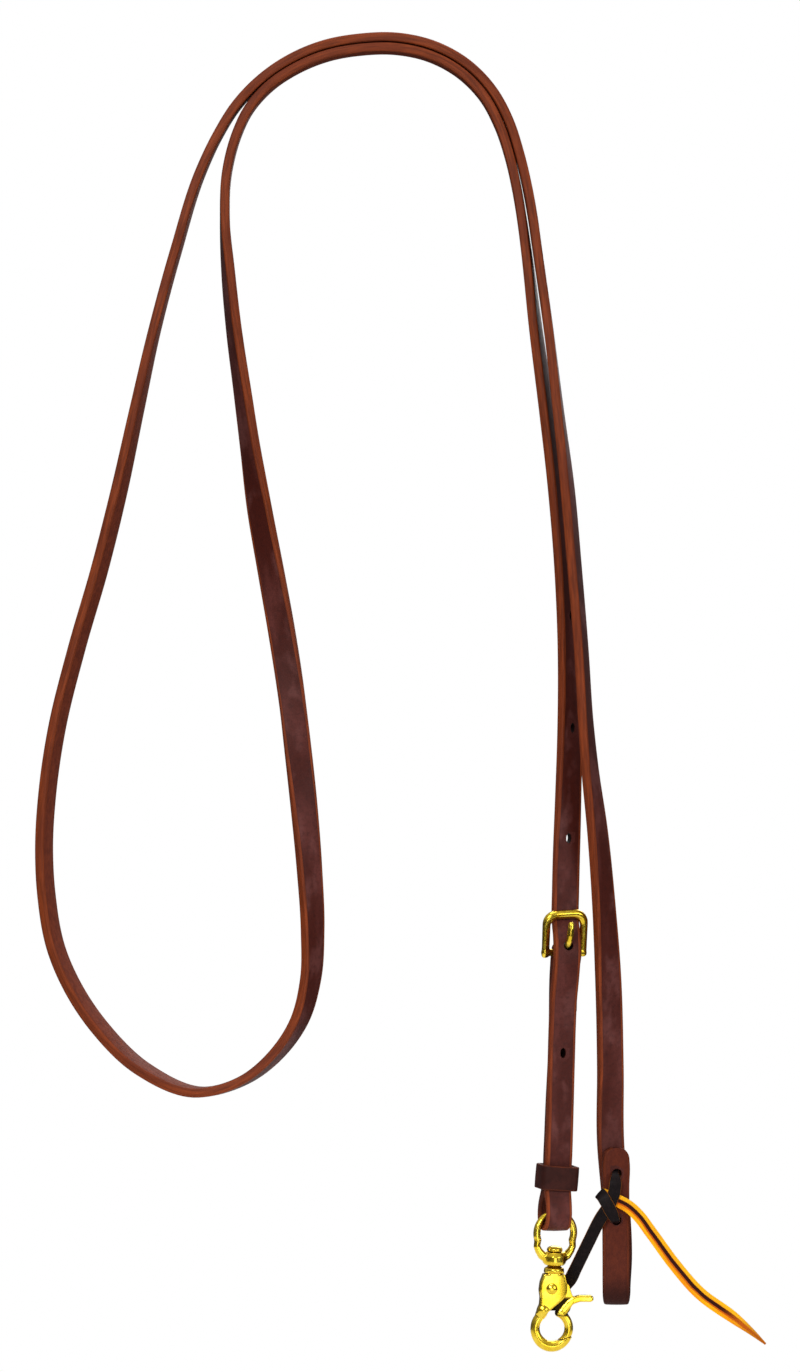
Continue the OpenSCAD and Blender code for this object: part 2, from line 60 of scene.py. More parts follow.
# ---- route of the strap, in millimetres
STRAP_W = 12.7
STRAP_T = 4.8  # at the middle; the faces are crowned
INNER_R = 78.3
OUTER_R = 83.2
PEG_R = 76.0
ARCH_X = -0.5
END_ORIGIN = (91.3, 0, -432)
END_LEAN = 2
END_TURN = 18
SNAP_X = 0.6
SNAP_TURN = -14

END = (Matrix.Translation(END_ORIGIN) @ Matrix.Rotation(math.radians(END_LEAN), 4, "Y")
       @ Matrix.Rotation(math.radians(END_TURN), 4, "Z"))
SNAP = END @ Matrix.Translation((SNAP_X, 0, 0))
SWIVEL = SNAP @ Matrix.Rotation(math.radians(SNAP_TURN), 4, "Z")


def free_rows(rows):
    """Stations x, y, z, heading as x, y, z, side direction, width, thickness, curl."""
    return [[x, y, z, math.cos(math.radians(h)), math.sin(math.radians(h)), 0, STRAP_W, STRAP_T, 0]
            for x, y, z, h in rows]


def end_rows(rows, t=STRAP_T):
    """Stations of the buckle end, from its own frame."""
    side = END.to_3x3() @ Vector((1, 0, 0))
    return [[*(END @ Vector(p)), *side, STRAP_W, t, 0] for p in rows]


def arch(r, a0, a1, steps, heading):
    """An arc over the peg, from angle a0 to a1 about the vertical."""
    angles = [math.radians(a0 + (a1 - a0) * i / steps) for i in range(steps + 1)]
    return free_rows([(ARCH_X + r * math.sin(a), 0, r * math.cos(a) - PEG_R, heading) for a in angles])


FOLD_STEPS = 6
HALF_TURN = [math.radians(180 + 180 * i / FOLD_STEPS) for i in range(FOLD_STEPS + 1)]
# Stations from the tied end to the sewn end: x, y, z and heading; the tip's have a width factor too
TIE_TIP = [(116.7, 6.1, -526.4, 192, 0.35), (116.7, 6.1, -527.4, 192, 0.66),
           (116.6, 6.1, -529.5, 192, 0.92), (116.6, 6.1, -532.5, 191, 1)]
TIE_FRONT = [(116.5, 6, -545, 188), (116.5, 5.5, -560, 184), (116.5, 3.6, -580, 181)]
TIE_FOLD_R = 5.2
TIE_FOLD_AT = (117, 8, -594.8)
TIE_FOLD_SHIFT = 0.5  # how far the fold drifts aside to its front and to its back
TIE_FOLD_ROUNDING = 0.10  # part of the width that the fold's lowest row loses
TIE_FOLD = [(TIE_FOLD_AT[0] - TIE_FOLD_SHIFT * math.cos(a - math.pi),
             TIE_FOLD_AT[1] + TIE_FOLD_R * math.cos(a),
             TIE_FOLD_AT[2] + TIE_FOLD_R * math.sin(a), 180) for a in HALF_TURN]
TIE_BACK = [
    (118.2, 12.7, -580, 181), (117.4, 12, -560, 185), (115.8, 11.5, -543, 188), (114.4, 11.2, -527, 192)]
OUTER_RIGHT = [
    (114, 8, -488, 204), (113, 4, -450, 208), (110.6, -1, -411, 224), (107.2, -5, -373, 235),
    (103.6, -7, -344, 245), (101.6, -8, -322, 251), (99.3, -8.5, -286, 253), (96.2, -8, -248, 253),
    (92.8, -7, -209, 254), (88.4, -5, -171, 262), (83.9, -3, -133, 267), (78.4, -1.5, -93.7, 269),
    (76.2, -1, -78.2, 270), (73.4, -0.6, -62.9, 270), (69.8, -0.3, -47.9, 270), (64.8, -0.1, -32.5, 270),
    (56.6, 0, -17.5, 270), (44.2, 0, -4.9, 270), (28.5, 0, 3.6, 270), (11.1, 0, 7.4, 270)]
# The big loop hangs in the plane y = 0: x, z and heading
LOOP = [
    (-83, -56, 268), (-95, -94, 266), (-105.5, -133, 264), (-114, -171, 258), (-122.5, -210, 252),
    (-132, -248, 250), (-143, -286, 250), (-152.6, -325, 250), (-156.9, -354, 250), (-158.6, -383, 250),
    (-157.5, -404, 249), (-152.5, -431, 248), (-143.5, -451, 246), (-131, -469, 244), (-111, -488, 244),
    (-84, -499, 250), (-62, -493, 252), (-47, -481, 247), (-36, -465, 242), (-30.5, -445, 236),
    (-29.5, -421, 226), (-31, -392, 217), (-33.5, -363, 205), (-36.5, -335, 190), (-40, -306, 177),
    (-44.5, -277, 164), (-49.7, -248, 153), (-55, -219, 143), (-59.4, -190, 124), (-63.3, -162, 116),
    (-67.3, -133, 110), (-70.2, -104, 104), (-71.7, -80, 94), (-70.5, -56, 90), (-65.3, -37, 90),
    (-61.3, -28.5, 90)]
INNER_RIGHT = [
    (10.6, 0, 2.4, 90), (26.8, 0, -1.1, 90), (41.2, 0, -8.9, 90), (52.6, 0, -20.4, 90),
    (60.2, 0.1, -34.5, 90), (65.1, 0.3, -49.2, 89), (68.5, 0.6, -63.9, 88), (71.1, 1, -79, 86),
    (73.3, 1.5, -94.3, 83), (78, 2.5, -133, 76), (83.2, 3.5, -171, 70), (88, 4, -209, 64),
    (91.7, 4, -248, 57), (93.8, 4, -286, 49), (94.2, 3.5, -324, 39), (93.4, 2.5, -360, 28)]
# The buckle end, in its own frame, down to the snap's eye and back up
END_FRONT = [
    (0.3, 2.0, 44), (0.4, 1.7, 27), (0.3, 1.1, 19), (0, -0.8, 14), (-0.6, -4.3, 9.3), (-1.2, -7.2, 4),
    (-1.3, -7.9, -3), (-1.2, -6.6, -12), (-1.1, -4.6, -22), (-0.9, -3.7, -34), (-0.6, -3.2, -52),
    (-0.2, -2.65, -72), (0, -2.6, -95), (0, -2.6, -114.5)]
FOLDED_T = 3.0
EYE_PIVOT_Z = -126.5
EYE_FOLD_R = 5.9
EYE_FOLD = [(0, EYE_FOLD_R * math.cos(a), EYE_PIVOT_Z + EYE_FOLD_R * math.sin(a)) for a in HALF_TURN]
END_FOLD = [(0, -5.3, -121)] + EYE_FOLD + [(0, 5.3, -121)]
END_BACK = [
    (0.5, 2.6, -114.5), (1, 2.6, -95), (1.2, 2.65, -72), (1.8, 3.4, -52), (2, 4.3, -34), (1.6, 4.3, -9)]
SKIVED_T = 2.6
WRAP_R = 3.3
WRAP_X = 1.2
WRAP_ANGLES = [math.pi * i / FOLD_STEPS for i in range(FOLD_STEPS + 1)]
END_WRAP = [(WRAP_X, WRAP_R * math.cos(a), WRAP_R * math.sin(a)) for a in WRAP_ANGLES]
END_TUCK = [(WRAP_X, -2.6, -4), (WRAP_X, -0.6, -8.5), (WRAP_X, 0.45, -13), (WRAP_X, 0.45, -28)]

TIP_ROWS = free_rows([point[:4] for point in TIE_TIP])
for row, point in zip(TIP_ROWS, TIE_TIP):
    row[6] *= point[4]
FOLD_ROWS = free_rows(TIE_FOLD)
for row, angle in zip(FOLD_ROWS, HALF_TURN):
    row[6] *= 1 - TIE_FOLD_ROUNDING * math.sin(angle) ** 6
STRAP_ROWS = (TIP_ROWS + free_rows(TIE_FRONT) + FOLD_ROWS + free_rows(TIE_BACK + OUTER_RIGHT)
              + arch(OUTER_R, -4, -64, 5, 270) + free_rows([(x, 0, z, h) for x, z, h in LOOP])
              + arch(INNER_R, -40, -4, 3, 90) + free_rows(INNER_RIGHT)
              + end_rows(END_FRONT) + end_rows(END_FOLD, FOLDED_T) + end_rows(END_BACK)
              + end_rows(END_WRAP + END_TUCK, SKIVED_T))

LACE_W = 6.0
LACE_T = 2.0
PINCH_W = 0.55
PINCH_T = 1.35


def lace_row(x, y, z, side_x, side_z, width=1, thickness=1, curl=0):
    """A row like the strap's; width and thickness are factors, curl is in millimetres."""
    return [x, y, z, side_x, 0, side_z, LACE_W * width, LACE_T * thickness, curl]


LACE_ROWS = [lace_row(*point) for point in [
    (92.2, 9.4, -594.3, -0.91, 0.4, 0.75), (94.4, 8.4, -590.7, -0.91, 0.4), (97.5, 6.2, -584, -0.91, 0.4),
    (103.5, 2.8, -571, -0.9, 0.44), (109, -0.4, -559.5, -0.86, 0.5), (113.2, -0.6, -553, -0.86, 0.5),
    (115.6, -0.4, -546.5, -0.96, 0.28), (116.1, 0.2, -541.8, -1, 0, 0.92, 1.1),
    (116.1, 2.6, -539, -1, 0, PINCH_W, PINCH_T), (116.1, 8.6, -538.7, -1, 0, PINCH_W, PINCH_T),
    (116.1, 14.1, -539, -1, 0, PINCH_W, PINCH_T), (116.2, 15.7, -542, -1, 0, 0.75),
    (116.2, 16, -550, -1, 0, 0.9), (116.3, 15.8, -557.5, -1, 0, 0.75),
    (116.3, 14.4, -560.6, -1, 0, PINCH_W, PINCH_T), (116.3, 8.6, -561, -1, 0, PINCH_W, PINCH_T),
    (116.3, 1.6, -561, -1, 0, PINCH_W, PINCH_T), (115.8, -1.8, -560, -0.95, -0.3, 0.75, 1.1),
    (113.7, -3.2, -555.9, -0.87, -0.49), (111.6, -3.1, -552, -0.87, -0.49),
    (109.6, -2, -548.7, -0.82, -0.57), (108.7, -0.4, -547.8, -0.65, -0.76),
    (110, 1.2, -548.4, -0.45, -0.89), (113.6, 1.8, -549.9, -0.38, -0.92, 1, 1, 0.2),
    (118.3, 1.8, -551.9, -0.38, -0.92, 1, 1, 0.5), (123, 1.5, -554.6, -0.5, -0.87, 1, 1, 0.9),
    (126.6, 1, -557.9, -0.7, -0.71, 1, 1, 1.2), (133.4, 0, -566.8, -0.8, -0.6, 1, 1, 1.3),
    (144.2, -1, -581.5, -0.77, -0.64, 1, 1, 1.3), (156.4, -2, -595.3, -0.72, -0.7, 1, 1, 1.2),
    (173, -3, -607.3, -0.62, -0.78, 0.92, 1, 0.9), (181, -3, -613.6, -0.62, -0.78, 0.55, 0.9, 0.3),
    (188, -3, -619.7, -0.62, -0.78, 0.16, 0.7)]]


def unit(vectors):
    return vectors / np.linalg.norm(vectors, axis=1)[:, None]


def way_along(points):
    """The length of the way from the first point to each point."""
    return np.concatenate([[0], np.cumsum(np.linalg.norm(np.diff(points, axis=0), axis=1))])


def smooth_rows(rows, step):
    """Rows every `step` mm on the smooth curve through the stations, and the forward direction at each."""
    rows = np.array(rows, float)
    gap = np.linalg.norm(np.diff(rows[:, :3], axis=0), axis=1)[:, None]
    rate = np.diff(rows, axis=0) / gap
    inner = (rate[:-1] * gap[1:] + rate[1:] * gap[:-1]) / (gap[:-1] + gap[1:])
    slope = np.vstack([rate[:1], inner, rate[-1:]])
    out = []
    ahead = []
    for i in range(len(gap)):
        g = gap[i, 0]
        count = max(2, math.ceil(g / step))
        last = i == len(gap) - 1
        u = (np.arange(count + last) / count)[:, None]
        out.append((2 * u**3 - 3 * u**2 + 1) * rows[i] + (u**3 - 2 * u**2 + u) * g * slope[i]
                   + (3 * u**2 - 2 * u**3) * rows[i + 1] + (u**3 - u**2) * g * slope[i + 1])
        ahead.append(((6 * u**2 - 6 * u) * rows[i] + (6 * u - 6 * u**2) * rows[i + 1]) / g
                     + (3 * u**2 - 4 * u + 1) * slope[i] + (3 * u**2 - 2 * u) * slope[i + 1])
    return np.vstack(out), unit(np.vstack(ahead)[:, :3])


def row_axes(rows, ahead):
    """Across and through directions of the band's section at each row."""
    side = rows[:, 3:6]
    across = unit(side - ahead * (side * ahead).sum(1)[:, None])
    return across, np.cross(ahead, across)


# ---- meshes
def new_mesh(name, verts, faces, matrix=None, smooth_angle=45):
    """A mesh object from points in millimetres, moved by a matrix."""
    verts = np.asarray(verts, float)
    if matrix is not None:
        m = np.array(matrix)
        verts = verts @ m[:3, :3].T + m[:3, 3]
    mesh = bpy.data.meshes.new(name)
    mesh.from_pydata((verts * MM).tolist(), [], [tuple(int(i) for i in f) for f in faces])
    mesh.update()
    obj = bpy.data.objects.new(name, mesh)
    scene.collection.objects.link(obj)
    finish_normals(obj, smooth_angle)
    return obj


def finish_normals(obj, smooth_angle=45):
    """Smooth shading, with sharp edges past an angle in degrees."""
    obj.data.shade_smooth()
    obj.data.set_sharp_from_angle(angle=math.radians(smooth_angle))


def vector_layer(obj, name, values):
    """Three numbers for each point, which a material can read."""
    layer = obj.data.attributes.new(name, "FLOAT_VECTOR", "POINT")
    layer.data.foreach_set("vector", np.asarray(values, np.float32).ravel())


CORNER_STEPS = 4  # edges round each bevelled corner of a band's section
CROWN_POINTS = (0.6, 0.0, -0.6)  # points across each face, as parts of half the width
CORNER_BULGE = 0.7  # the side's bulge where a bevel meets it, as a part of the whole bulge
BEVEL_LIMIT = 0.8  # a bevel's largest part of half the width or thickness
CURL_SHIFT = 0.35  # keeps a curled band's mean height in place


def band_outline():
    """Section outline, clockwise: factors of width/2, bevel, side bulge, thickness/2, bevel, crown."""
    out = []
    quarter = math.pi / 2
    for sx, sy, start in ((1, 1, quarter), (1, -1, 0), (-1, -1, -quarter), (-1, 1, 2 * quarter)):
        for k in range(CORNER_STEPS + 1):
            th = start - quarter * k / CORNER_STEPS
            rise = math.sin(th) ** 2
            bulge = sx * (1 - rise) * CORNER_BULGE
            out.append((sx, math.cos(th) - sx, bulge, sy, math.sin(th) - sy, sy * rise))
        if sx * sy > 0:
            out.append((sx, 0, sx, 0, 0, 0))
        else:
            out += [(k, -k, 0, sy, 0, sy * k * k) for k in [-sy * c for c in CROWN_POINTS]]
    return np.array(out)


def tube_faces(rings, sides):
    """Faces of a tube of rings with closed ends."""
    faces = []
    for i in range(rings - 1):
        for j in range(sides):
            k = (j + 1) % sides
            faces.append((i * sides + j, i * sides + k, (i + 1) * sides + k, (i + 1) * sides + j))
    faces.append(tuple(range(sides))[::-1])
    faces.append(tuple((rings - 1) * sides + j for j in range(sides)))
    return faces


def band(name, rows, step, bevel, crown, bulge):
    """A leather band swept along rows: the object, its fine rows, their forward directions, its length."""
    rows, ahead = smooth_rows(rows, step)
    across, up = row_axes(rows, ahead)
    w, t, curl = rows[:, 6:7] / 2, rows[:, 7:8] / 2, rows[:, 8:9]
    b = np.minimum(bevel, np.minimum(w, t) * BEVEL_LIMIT)
    shape = band_outline()
    a_mm = shape[:, 0] * w + shape[:, 1] * b + shape[:, 2] * bulge
    b_mm = shape[:, 3] * t + shape[:, 4] * b - crown * shape[:, 5]
    lift = -curl * ((a_mm / w) ** 2 - CURL_SHIFT)
    verts = rows[:, None, :3] + a_mm[:, :, None] * across[:, None] + (b_mm + lift)[:, :, None] * up[:, None]
    flat = verts.reshape(-1, 3)
    obj = new_mesh(name, flat, outward(flat, tube_faces(len(rows), len(shape))))
    along = way_along(rows[:, :3])
    s = np.repeat(along[:, None], len(shape), 1)
    vector_layer(obj, "lay", np.stack([s * MM, a_mm * MM, b_mm * MM], 2))
    vector_layer(obj, "mask", np.stack([a_mm / w, b_mm / t, s / along[-1]], 2))
    return obj, rows, ahead, along[-1]


def outward(verts, faces):
    """The faces, turned so that they look out of the closed mesh."""
    tris = np.array([(f[0], f[i], f[i + 1]) for f in faces for i in range(1, len(f) - 1)])
    p = verts - verts.mean(0)
    volume = (p[tris[:, 0]] * np.cross(p[tris[:, 1]], p[tris[:, 2]])).sum()
    return faces if volume > 0 else [tuple(reversed(f)) for f in faces]


HOLE_WALL = 3.0  # third mask value of the walls of holes; on the leather it is 0 to 1
HOLE_SIDES = 28
HOLE_LIP = 0.5  # depth of the flare below a face
HOLE_PAST = 0.05  # the flare's rim ends this far outside a face
HOLE_EASE = 0.1
HOLE_SPREAD = 1.2  # how much wider the cutting shape is at its far ends


def cutter(verts, faces):
    """A closed shape to cut with, which marks the walls that it leaves."""
    verts = np.array(verts)
    obj = new_mesh("cutter", verts, outward(verts, faces))
    vector_layer(obj, "mask", np.tile((0.0, 0.0, HOLE_WALL), (len(verts), 1)))
    vector_layer(obj, "lay", verts * MM)
    return obj


def round_hole(rows, ahead, point, r, flare, across_factor=1.0, reach=5.0):
    """A flared hole through the middle of the strap beside a point; returns verts and faces."""
    i = np.argmin(np.linalg.norm(rows[:, :3] - np.array(point), axis=1))
    across, up = row_axes(rows, ahead)
    x, y, z = across[i] * across_factor, ahead[i], up[i]
    centre = rows[i, :3] + ahead[i] * ((np.array(point) - rows[i, :3]) @ ahead[i])
    half = rows[i, 7] / 2
    one_end = [(half - HOLE_LIP, r + HOLE_EASE), (half + HOLE_PAST, r + flare),
               (reach, r + flare + HOLE_SPREAD)]
    profile = [(-h, q) for h, q in reversed(one_end)] + one_end
    angles = [2 * math.pi * k / HOLE_SIDES for k in range(HOLE_SIDES)]
    verts = [centre + z * h + (x * math.cos(a) + y * math.sin(a)) * q for h, q in profile for a in angles]
    return verts, tube_faces(len(profile), HOLE_SIDES)


def cut_away(obj, tool):
    """Boolean difference, applied."""
    mod = obj.modifiers.new("cut", "BOOLEAN")
    mod.operation = "DIFFERENCE"
    mod.solver = "MANIFOLD"
    mod.object = tool
    bpy.context.view_layer.update()
    done = bpy.data.meshes.new_from_object(obj.evaluated_get(bpy.context.evaluated_depsgraph_get()))
    obj.modifiers.clear()
    obj.data = done
    bpy.data.objects.remove(tool)
    finish_normals(obj)


# ---- castings from distance fields
DOME_X = 6  # a domed face falls by its dome at this distance from its middle
DOME_Z = 10
CAST_SMOOTH = 60


class Field:
    """A block of space in millimetres, in which solids are distance fields."""

    def __init__(self, lo, hi, voxel):
        self.lo, self.voxel = np.array(lo, float), voxel
        n = np.ceil((np.array(hi) - self.lo) / voxel).astype(int) + 1
        self.shape = tuple(n)
        axes = [self.lo[k] + voxel * np.arange(n[k]) for k in range(3)]
        self.x = axes[0][:, None, None]
        self.y = axes[1][None, :, None]
        self.z = axes[2][None, None, :]

    def rod(self, points, radii):
        """A chain of round bars through points; radii is one number or one for each point."""
        radii = [radii] * len(points) if np.isscalar(radii) else radii
        out = None
        for p, q, r0, r1 in zip(points, points[1:], radii, radii[1:]):
            p, d = np.array(p, float), np.array(q, float) - np.array(p, float)
            x, y, z = self.x - p[0], self.y - p[1], self.z - p[2]
            t = np.clip((x * d[0] + y * d[1] + z * d[2]) / (d @ d), 0, 1)
            away = (x - t * d[0]) ** 2 + (y - t * d[1]) ** 2 + (z - t * d[2]) ** 2
            bar = np.sqrt(away) - (r0 + (r1 - r0) * t)
            out = bar if out is None else np.minimum(out, bar)
        return out

    def prism(self, outline, y0, y1, edge, dome=0.0, middle=(0.0, 0.0)):
        """An XZ outline between y0 and y1, with its edges rounded and its faces domed about a middle."""
        flat = polygon(self.x, self.z, outline) + edge
        fall = ((self.x - middle[0]) / DOME_X) ** 2 + ((self.z - middle[1]) / DOME_Z) ** 2
        deep = np.abs(self.y - (y0 + y1) / 2) - (y1 - y0) / 2 + edge + dome * fall
        return (np.minimum(np.maximum(flat, deep), 0)
                + np.sqrt(np.maximum(flat, 0) ** 2 + np.maximum(deep, 0) ** 2) - edge)

    def turned(self, outline):
        """A profile of radius and height, turned about the Z axis."""
        return polygon(np.sqrt(self.x ** 2 + self.y ** 2), self.z, outline)

    def pin(self, x, z, r):
        """An endless round bar along Y through x, z."""
        return np.sqrt((self.x - x) ** 2 + (self.z - z) ** 2) - r

    def mesh(self, name, values, matrix, painted_shade=None):
        """The solid's surface; painted_shade gives how deep in painted shadow a point x, y, z lies, 0 to 1.
        """
        values = np.broadcast_to(values, self.shape)
        far = 3 * self.voxel
        grid = openvdb.FloatGrid(background=far)
        grid.copyFromArray(np.clip(values, -far, far).astype(np.float32))
        points, quads = grid.convertToQuads(0.0)
        points = relaxed(points.astype(float), quads) * self.voxel + self.lo
        obj = new_mesh(name, points, quads, matrix, CAST_SMOOTH)
        if painted_shade:
            depth = painted_shade(*points.T)
            vector_layer(obj, "mask", np.stack([depth, 0 * depth, 0 * depth], 1))
        return obj


def relaxed(points, quads, rounds=4, share=0.6):
    """Mesh points drawn towards the middle of their neighbours, which takes out the steps of the block."""
    ends = np.vstack([quads[:, [k, (k + 1) % 4]] for k in range(4)])
    ends = np.vstack([ends, ends[:, ::-1]])
    count = np.bincount(ends[:, 0], minlength=len(points))[:, None]
    for _ in range(rounds):
        sums = [np.bincount(ends[:, 0], points[ends[:, 1], k], len(points)) for k in range(3)]
        points = points + share * (np.stack(sums, 1) / count - points)
    return points


def ramp(value, low, high):
    """0 at low, 1 at high, smooth between."""
    t = np.clip((value - low) / (high - low), 0, 1)
    return t * t * (3 - 2 * t)


def polygon(x, y, outline):
    """Signed distance to a closed outline, negative inside."""
    best = None
    inside = None
    n = len(outline)
    for i in range(n):
        (ax, ay), (bx, by) = outline[i], outline[(i + 1) % n]
        ex, ey = bx - ax, by - ay
        wx, wy = x - ax, y - ay
        t = np.clip((wx * ex + wy * ey) / (ex * ex + ey * ey), 0, 1)
        d = (wx - ex * t) ** 2 + (wy - ey * t) ** 2
        best = d if best is None else np.minimum(best, d)
        crosses = ((ay <= y) != (by <= y)) & ((ex * wy - ey * wx > 0) == (by > ay))
        inside = crosses if inside is None else inside ^ crosses
    return np.sqrt(best) * np.where(inside, -1.0, 1.0)


def blend(a, b, k):
    """Union with a fillet of size k."""
    h = np.clip(0.5 + 0.5 * (b - a) / k, 0, 1)
    return b + (a - b) * h - k * h * (1 - h)


def carve(a, b, k):
    """a without b, the new edge softened by k."""
    return -blend(-a, b, k)


def arc_points(cx, cz, r, a0, a1, steps):
    """Points of an arc in the XZ plane, from angle a0 to a1 in degrees."""
    angles = [math.radians(a0 + (a1 - a0) * i / steps) for i in range(steps + 1)]
    return [(cx + r * math.cos(a), 0.0, cz + r * math.sin(a)) for a in angles]


# ---- materials
def srgb(r, g, b):
    """Linear colour from 0..255 screen values."""
    return tuple(c / 12.92 if c <= 0.04045 else ((c + 0.055) / 1.055) ** 2.4
                 for c in (r / 255, g / 255, b / 255)) + (1.0,)


class Shader:
    """A Principled material with short calls for its nodes."""

    def __init__(self, name):
        self.material = bpy.data.materials.new(name)
        self.material.use_nodes = True
        self.tree = self.material.node_tree
        self.tree.nodes.clear()
        out = self.tree.nodes.new("ShaderNodeOutputMaterial")
        self.bsdf = self.tree.nodes.new("ShaderNodeBsdfPrincipled")
        self.tree.links.new(self.bsdf.outputs[0], out.inputs[0])

    def put(self, socket, value):
        """Links a socket's input to an output, or sets its number."""
        if isinstance(value, bpy.types.NodeSocket):
            self.tree.links.new(value, socket)
        else:
            socket.default_value = value

    def node(self, kind, inputs=None, out=0, **settings):
        """A new node with its inputs and settings; returns the output numbered out."""
        n = self.tree.nodes.new("ShaderNode" + kind)
        for key, value in settings.items():
            setattr(n, key, value)
        for key, value in (inputs or {}).items():
            self.put(n.inputs[key], value)
        return n.outputs[out]

    def layer(self, name):
        """A point layer of the mesh, as a vector."""
        return self.node("Attribute", attribute_name=name, out=1)

    def split(self, vector):
        """The x, y and z of a vector."""
        n = self.tree.nodes.new("ShaderNodeSeparateXYZ")
        self.tree.links.new(vector, n.inputs[0])
        return n.outputs

    def math(self, op, a, b=0.0, c=0.0):
        return self.node("Math", {0: a, 1: b, 2: c}, operation=op)

    def times(self, a, b):
        return self.math("MULTIPLY", a, b)

    def noise(self, vector, scale, detail, rough=0.55):
        return self.node("TexNoise", {"Vector": vector, "Scale": scale, "Detail": detail, "Roughness": rough})

    def fibres(self, vector, scales, detail, rough=0.55):
        """Noise stretched by its own scale along each axis."""
        stretched = self.node("VectorMath", {0: vector, 1: scales}, operation="MULTIPLY")
        return self.noise(stretched, 1.0, detail, rough)

    def pores(self, vector, scale):
        """Distance to the edges of a leather grain's cells."""
        return self.node("TexVoronoi", {"Vector": vector, "Scale": scale}, feature="DISTANCE_TO_EDGE")

    def step(self, value, low, high, to_low=0.0, to_high=1.0):
        """to_low below low, to_high above high, smooth between."""
        return self.node("MapRange", {"Value": value, "From Min": low, "From Max": high, "To Min": to_low,
                                      "To Max": to_high}, interpolation_type="SMOOTHSTEP")

    def between(self, value, first, last):
        """1 where the value is past the step first and before the step last."""
        return self.times(self.step(value, *first), self.step(value, *last, 1.0, 0.0))

    def mix(self, factor, a, b):
        """Colour a at factor 0, b at 1."""
        return self.node("Mix", {0: factor, 6: a, 7: b}, out=2, data_type="RGBA")

    def bump(self, height, strength, distance, normal=None):
        under = {} if normal is None else {"Normal": normal}
        return self.node("Bump", {"Height": height, "Strength": strength, "Distance": distance, **under})

    def set(self, **sockets):
        """Sets inputs of the Principled node, with _ for a space, and returns the material."""
        for key, value in sockets.items():
            self.put(self.bsdf.inputs[key.replace("_", " ")], value)
        return self.material


# Places on the strap, as parts of its length from the tied end
TIE_FADE = (0.045, 0.075)
FOLD_SHADE_FROM = (0.0215, 0.0265)
FOLD_SHADE_TO = (0.034, 0.040)
END_BACK_FROM = (0.936, 0.940)
# Steps in the third mask value between the leather, at most 1, and the walls of holes
OFF_LEATHER = (1.1, 1.2)
IN_HOLE = (1.5, 2.0)
# Where the painted shade line begins and ends and the bare edge begins, as parts of half the width
SHADE_LINE_FROM = (0.71, 0.76)
SHADE_LINE_TO = (0.76, 0.80)
BARE_FROM = (0.76, 0.83)


def harness_leather():
    """Oiled red-brown strap leather with bare edges; lay is along, across and through, in metres."""
    m = Shader("harness_leather")
    lay, mask = m.layer("lay"), m.layer("mask")
    u, v, along = m.split(mask)
    wobble = m.fibres(lay, (60, 300, 300), 2.0)
    edge_at = m.math("ADD", m.math("ABSOLUTE", u), m.math("MULTIPLY_ADD", wobble, 0.05, -0.025))
    edge = m.step(edge_at, *BARE_FROM)
    flesh = m.step(m.times(v, -1.0), 0.86, 0.93)
    # face: deep red-brown, mottled by oil and handling; the pale end of the mottling is partly a painted
    # sheen
    cloud = m.fibres(lay, (18, 50, 50), 3.0)
    speck = m.noise(lay, 420.0, 4.0, 0.7)
    face = m.mix(m.step(cloud, 0.42, 0.72), srgb(70, 26, 19), srgb(100, 50, 45))
    # painted sheen: pale, greyish patches on the face
    sheen_patch = m.fibres(lay, (55, 90, 90), 2.0)
    face = m.mix(m.step(sheen_patch, 0.50, 0.66, 0.0, 0.6), face, srgb(106, 60, 56))
    face = m.mix(m.step(speck, 0.42, 0.75, 0.0, 0.55), face, srgb(52, 21, 18))
    # cut and bevelled edges: bare orange-brown fibres that run along the strap
    fibre = m.fibres(lay, (60, 900, 900), 4.0, 0.65)
    tint = m.fibres(lay, (26, 160, 160), 2.0)
    bare = m.mix(m.step(fibre, 0.3, 0.72), srgb(98, 41, 18), srgb(140, 62, 27))
    bare = m.mix(m.step(tint, 0.4, 0.7, 0.0, 0.5), bare, srgb(98, 40, 22))
    # flesh side: rusty and rougher
    nap = m.fibres(lay, (300, 520, 300), 5.0, 0.75)
    inside = m.mix(m.step(nap, 0.3, 0.7), srgb(92, 36, 20), srgb(124, 54, 29))
    colour = m.mix(m.times(flesh, 0.9), face, inside)
    colour = m.mix(edge, colour, bare)
    # painted shade: a dark line where the bevel meets the face
    line = m.between(edge_at, SHADE_LINE_FROM, SHADE_LINE_TO)
    colour = m.mix(m.times(line, 0.4), colour, srgb(48, 20, 16))
    # the tied end is darker, and its fold is painted darker still as shade
    tie = m.step(along, *TIE_FADE, 1.0, 0.0)
    fold_shade = m.between(along, FOLD_SHADE_FROM, FOLD_SHADE_TO)
    colour = m.mix(m.times(tie, 0.6), colour, srgb(64, 21, 11))
    colour = m.mix(m.times(fold_shade, 0.8), colour, srgb(32, 9, 7))
    # painted shade: the turned-back layer behind the snap end is dark, and the walls of holes are nearly
    # black
    back = m.between(along, END_BACK_FROM, OFF_LEATHER)
    colour = m.mix(m.times(back, 0.75), colour, srgb(46, 17, 13))
    colour = m.mix(m.step(along, *IN_HOLE), colour, srgb(26, 11, 9))
    rough = m.math("ADD", m.step(cloud, 0.3, 0.7, 0.42, 0.54), m.times(edge, 0.12))
    rough = m.math("MULTIPLY_ADD", flesh, 0.22, rough)
    pores = m.pores(lay, 700.0)
    grain = m.math("MULTIPLY_ADD", m.step(pores, 0.0, 0.25), 0.5, m.times(speck, 0.6))
    normal = m.bump(grain, 0.12, 0.00014)
    normal = m.bump(m.times(fibre, edge), 0.18, 0.00018, normal)
    normal = m.bump(m.times(nap, flesh), 0.18, 0.0002, normal)
    return m.set(Base_Color=colour, Roughness=rough, Normal=normal, Specular_IOR_Level=0.14)


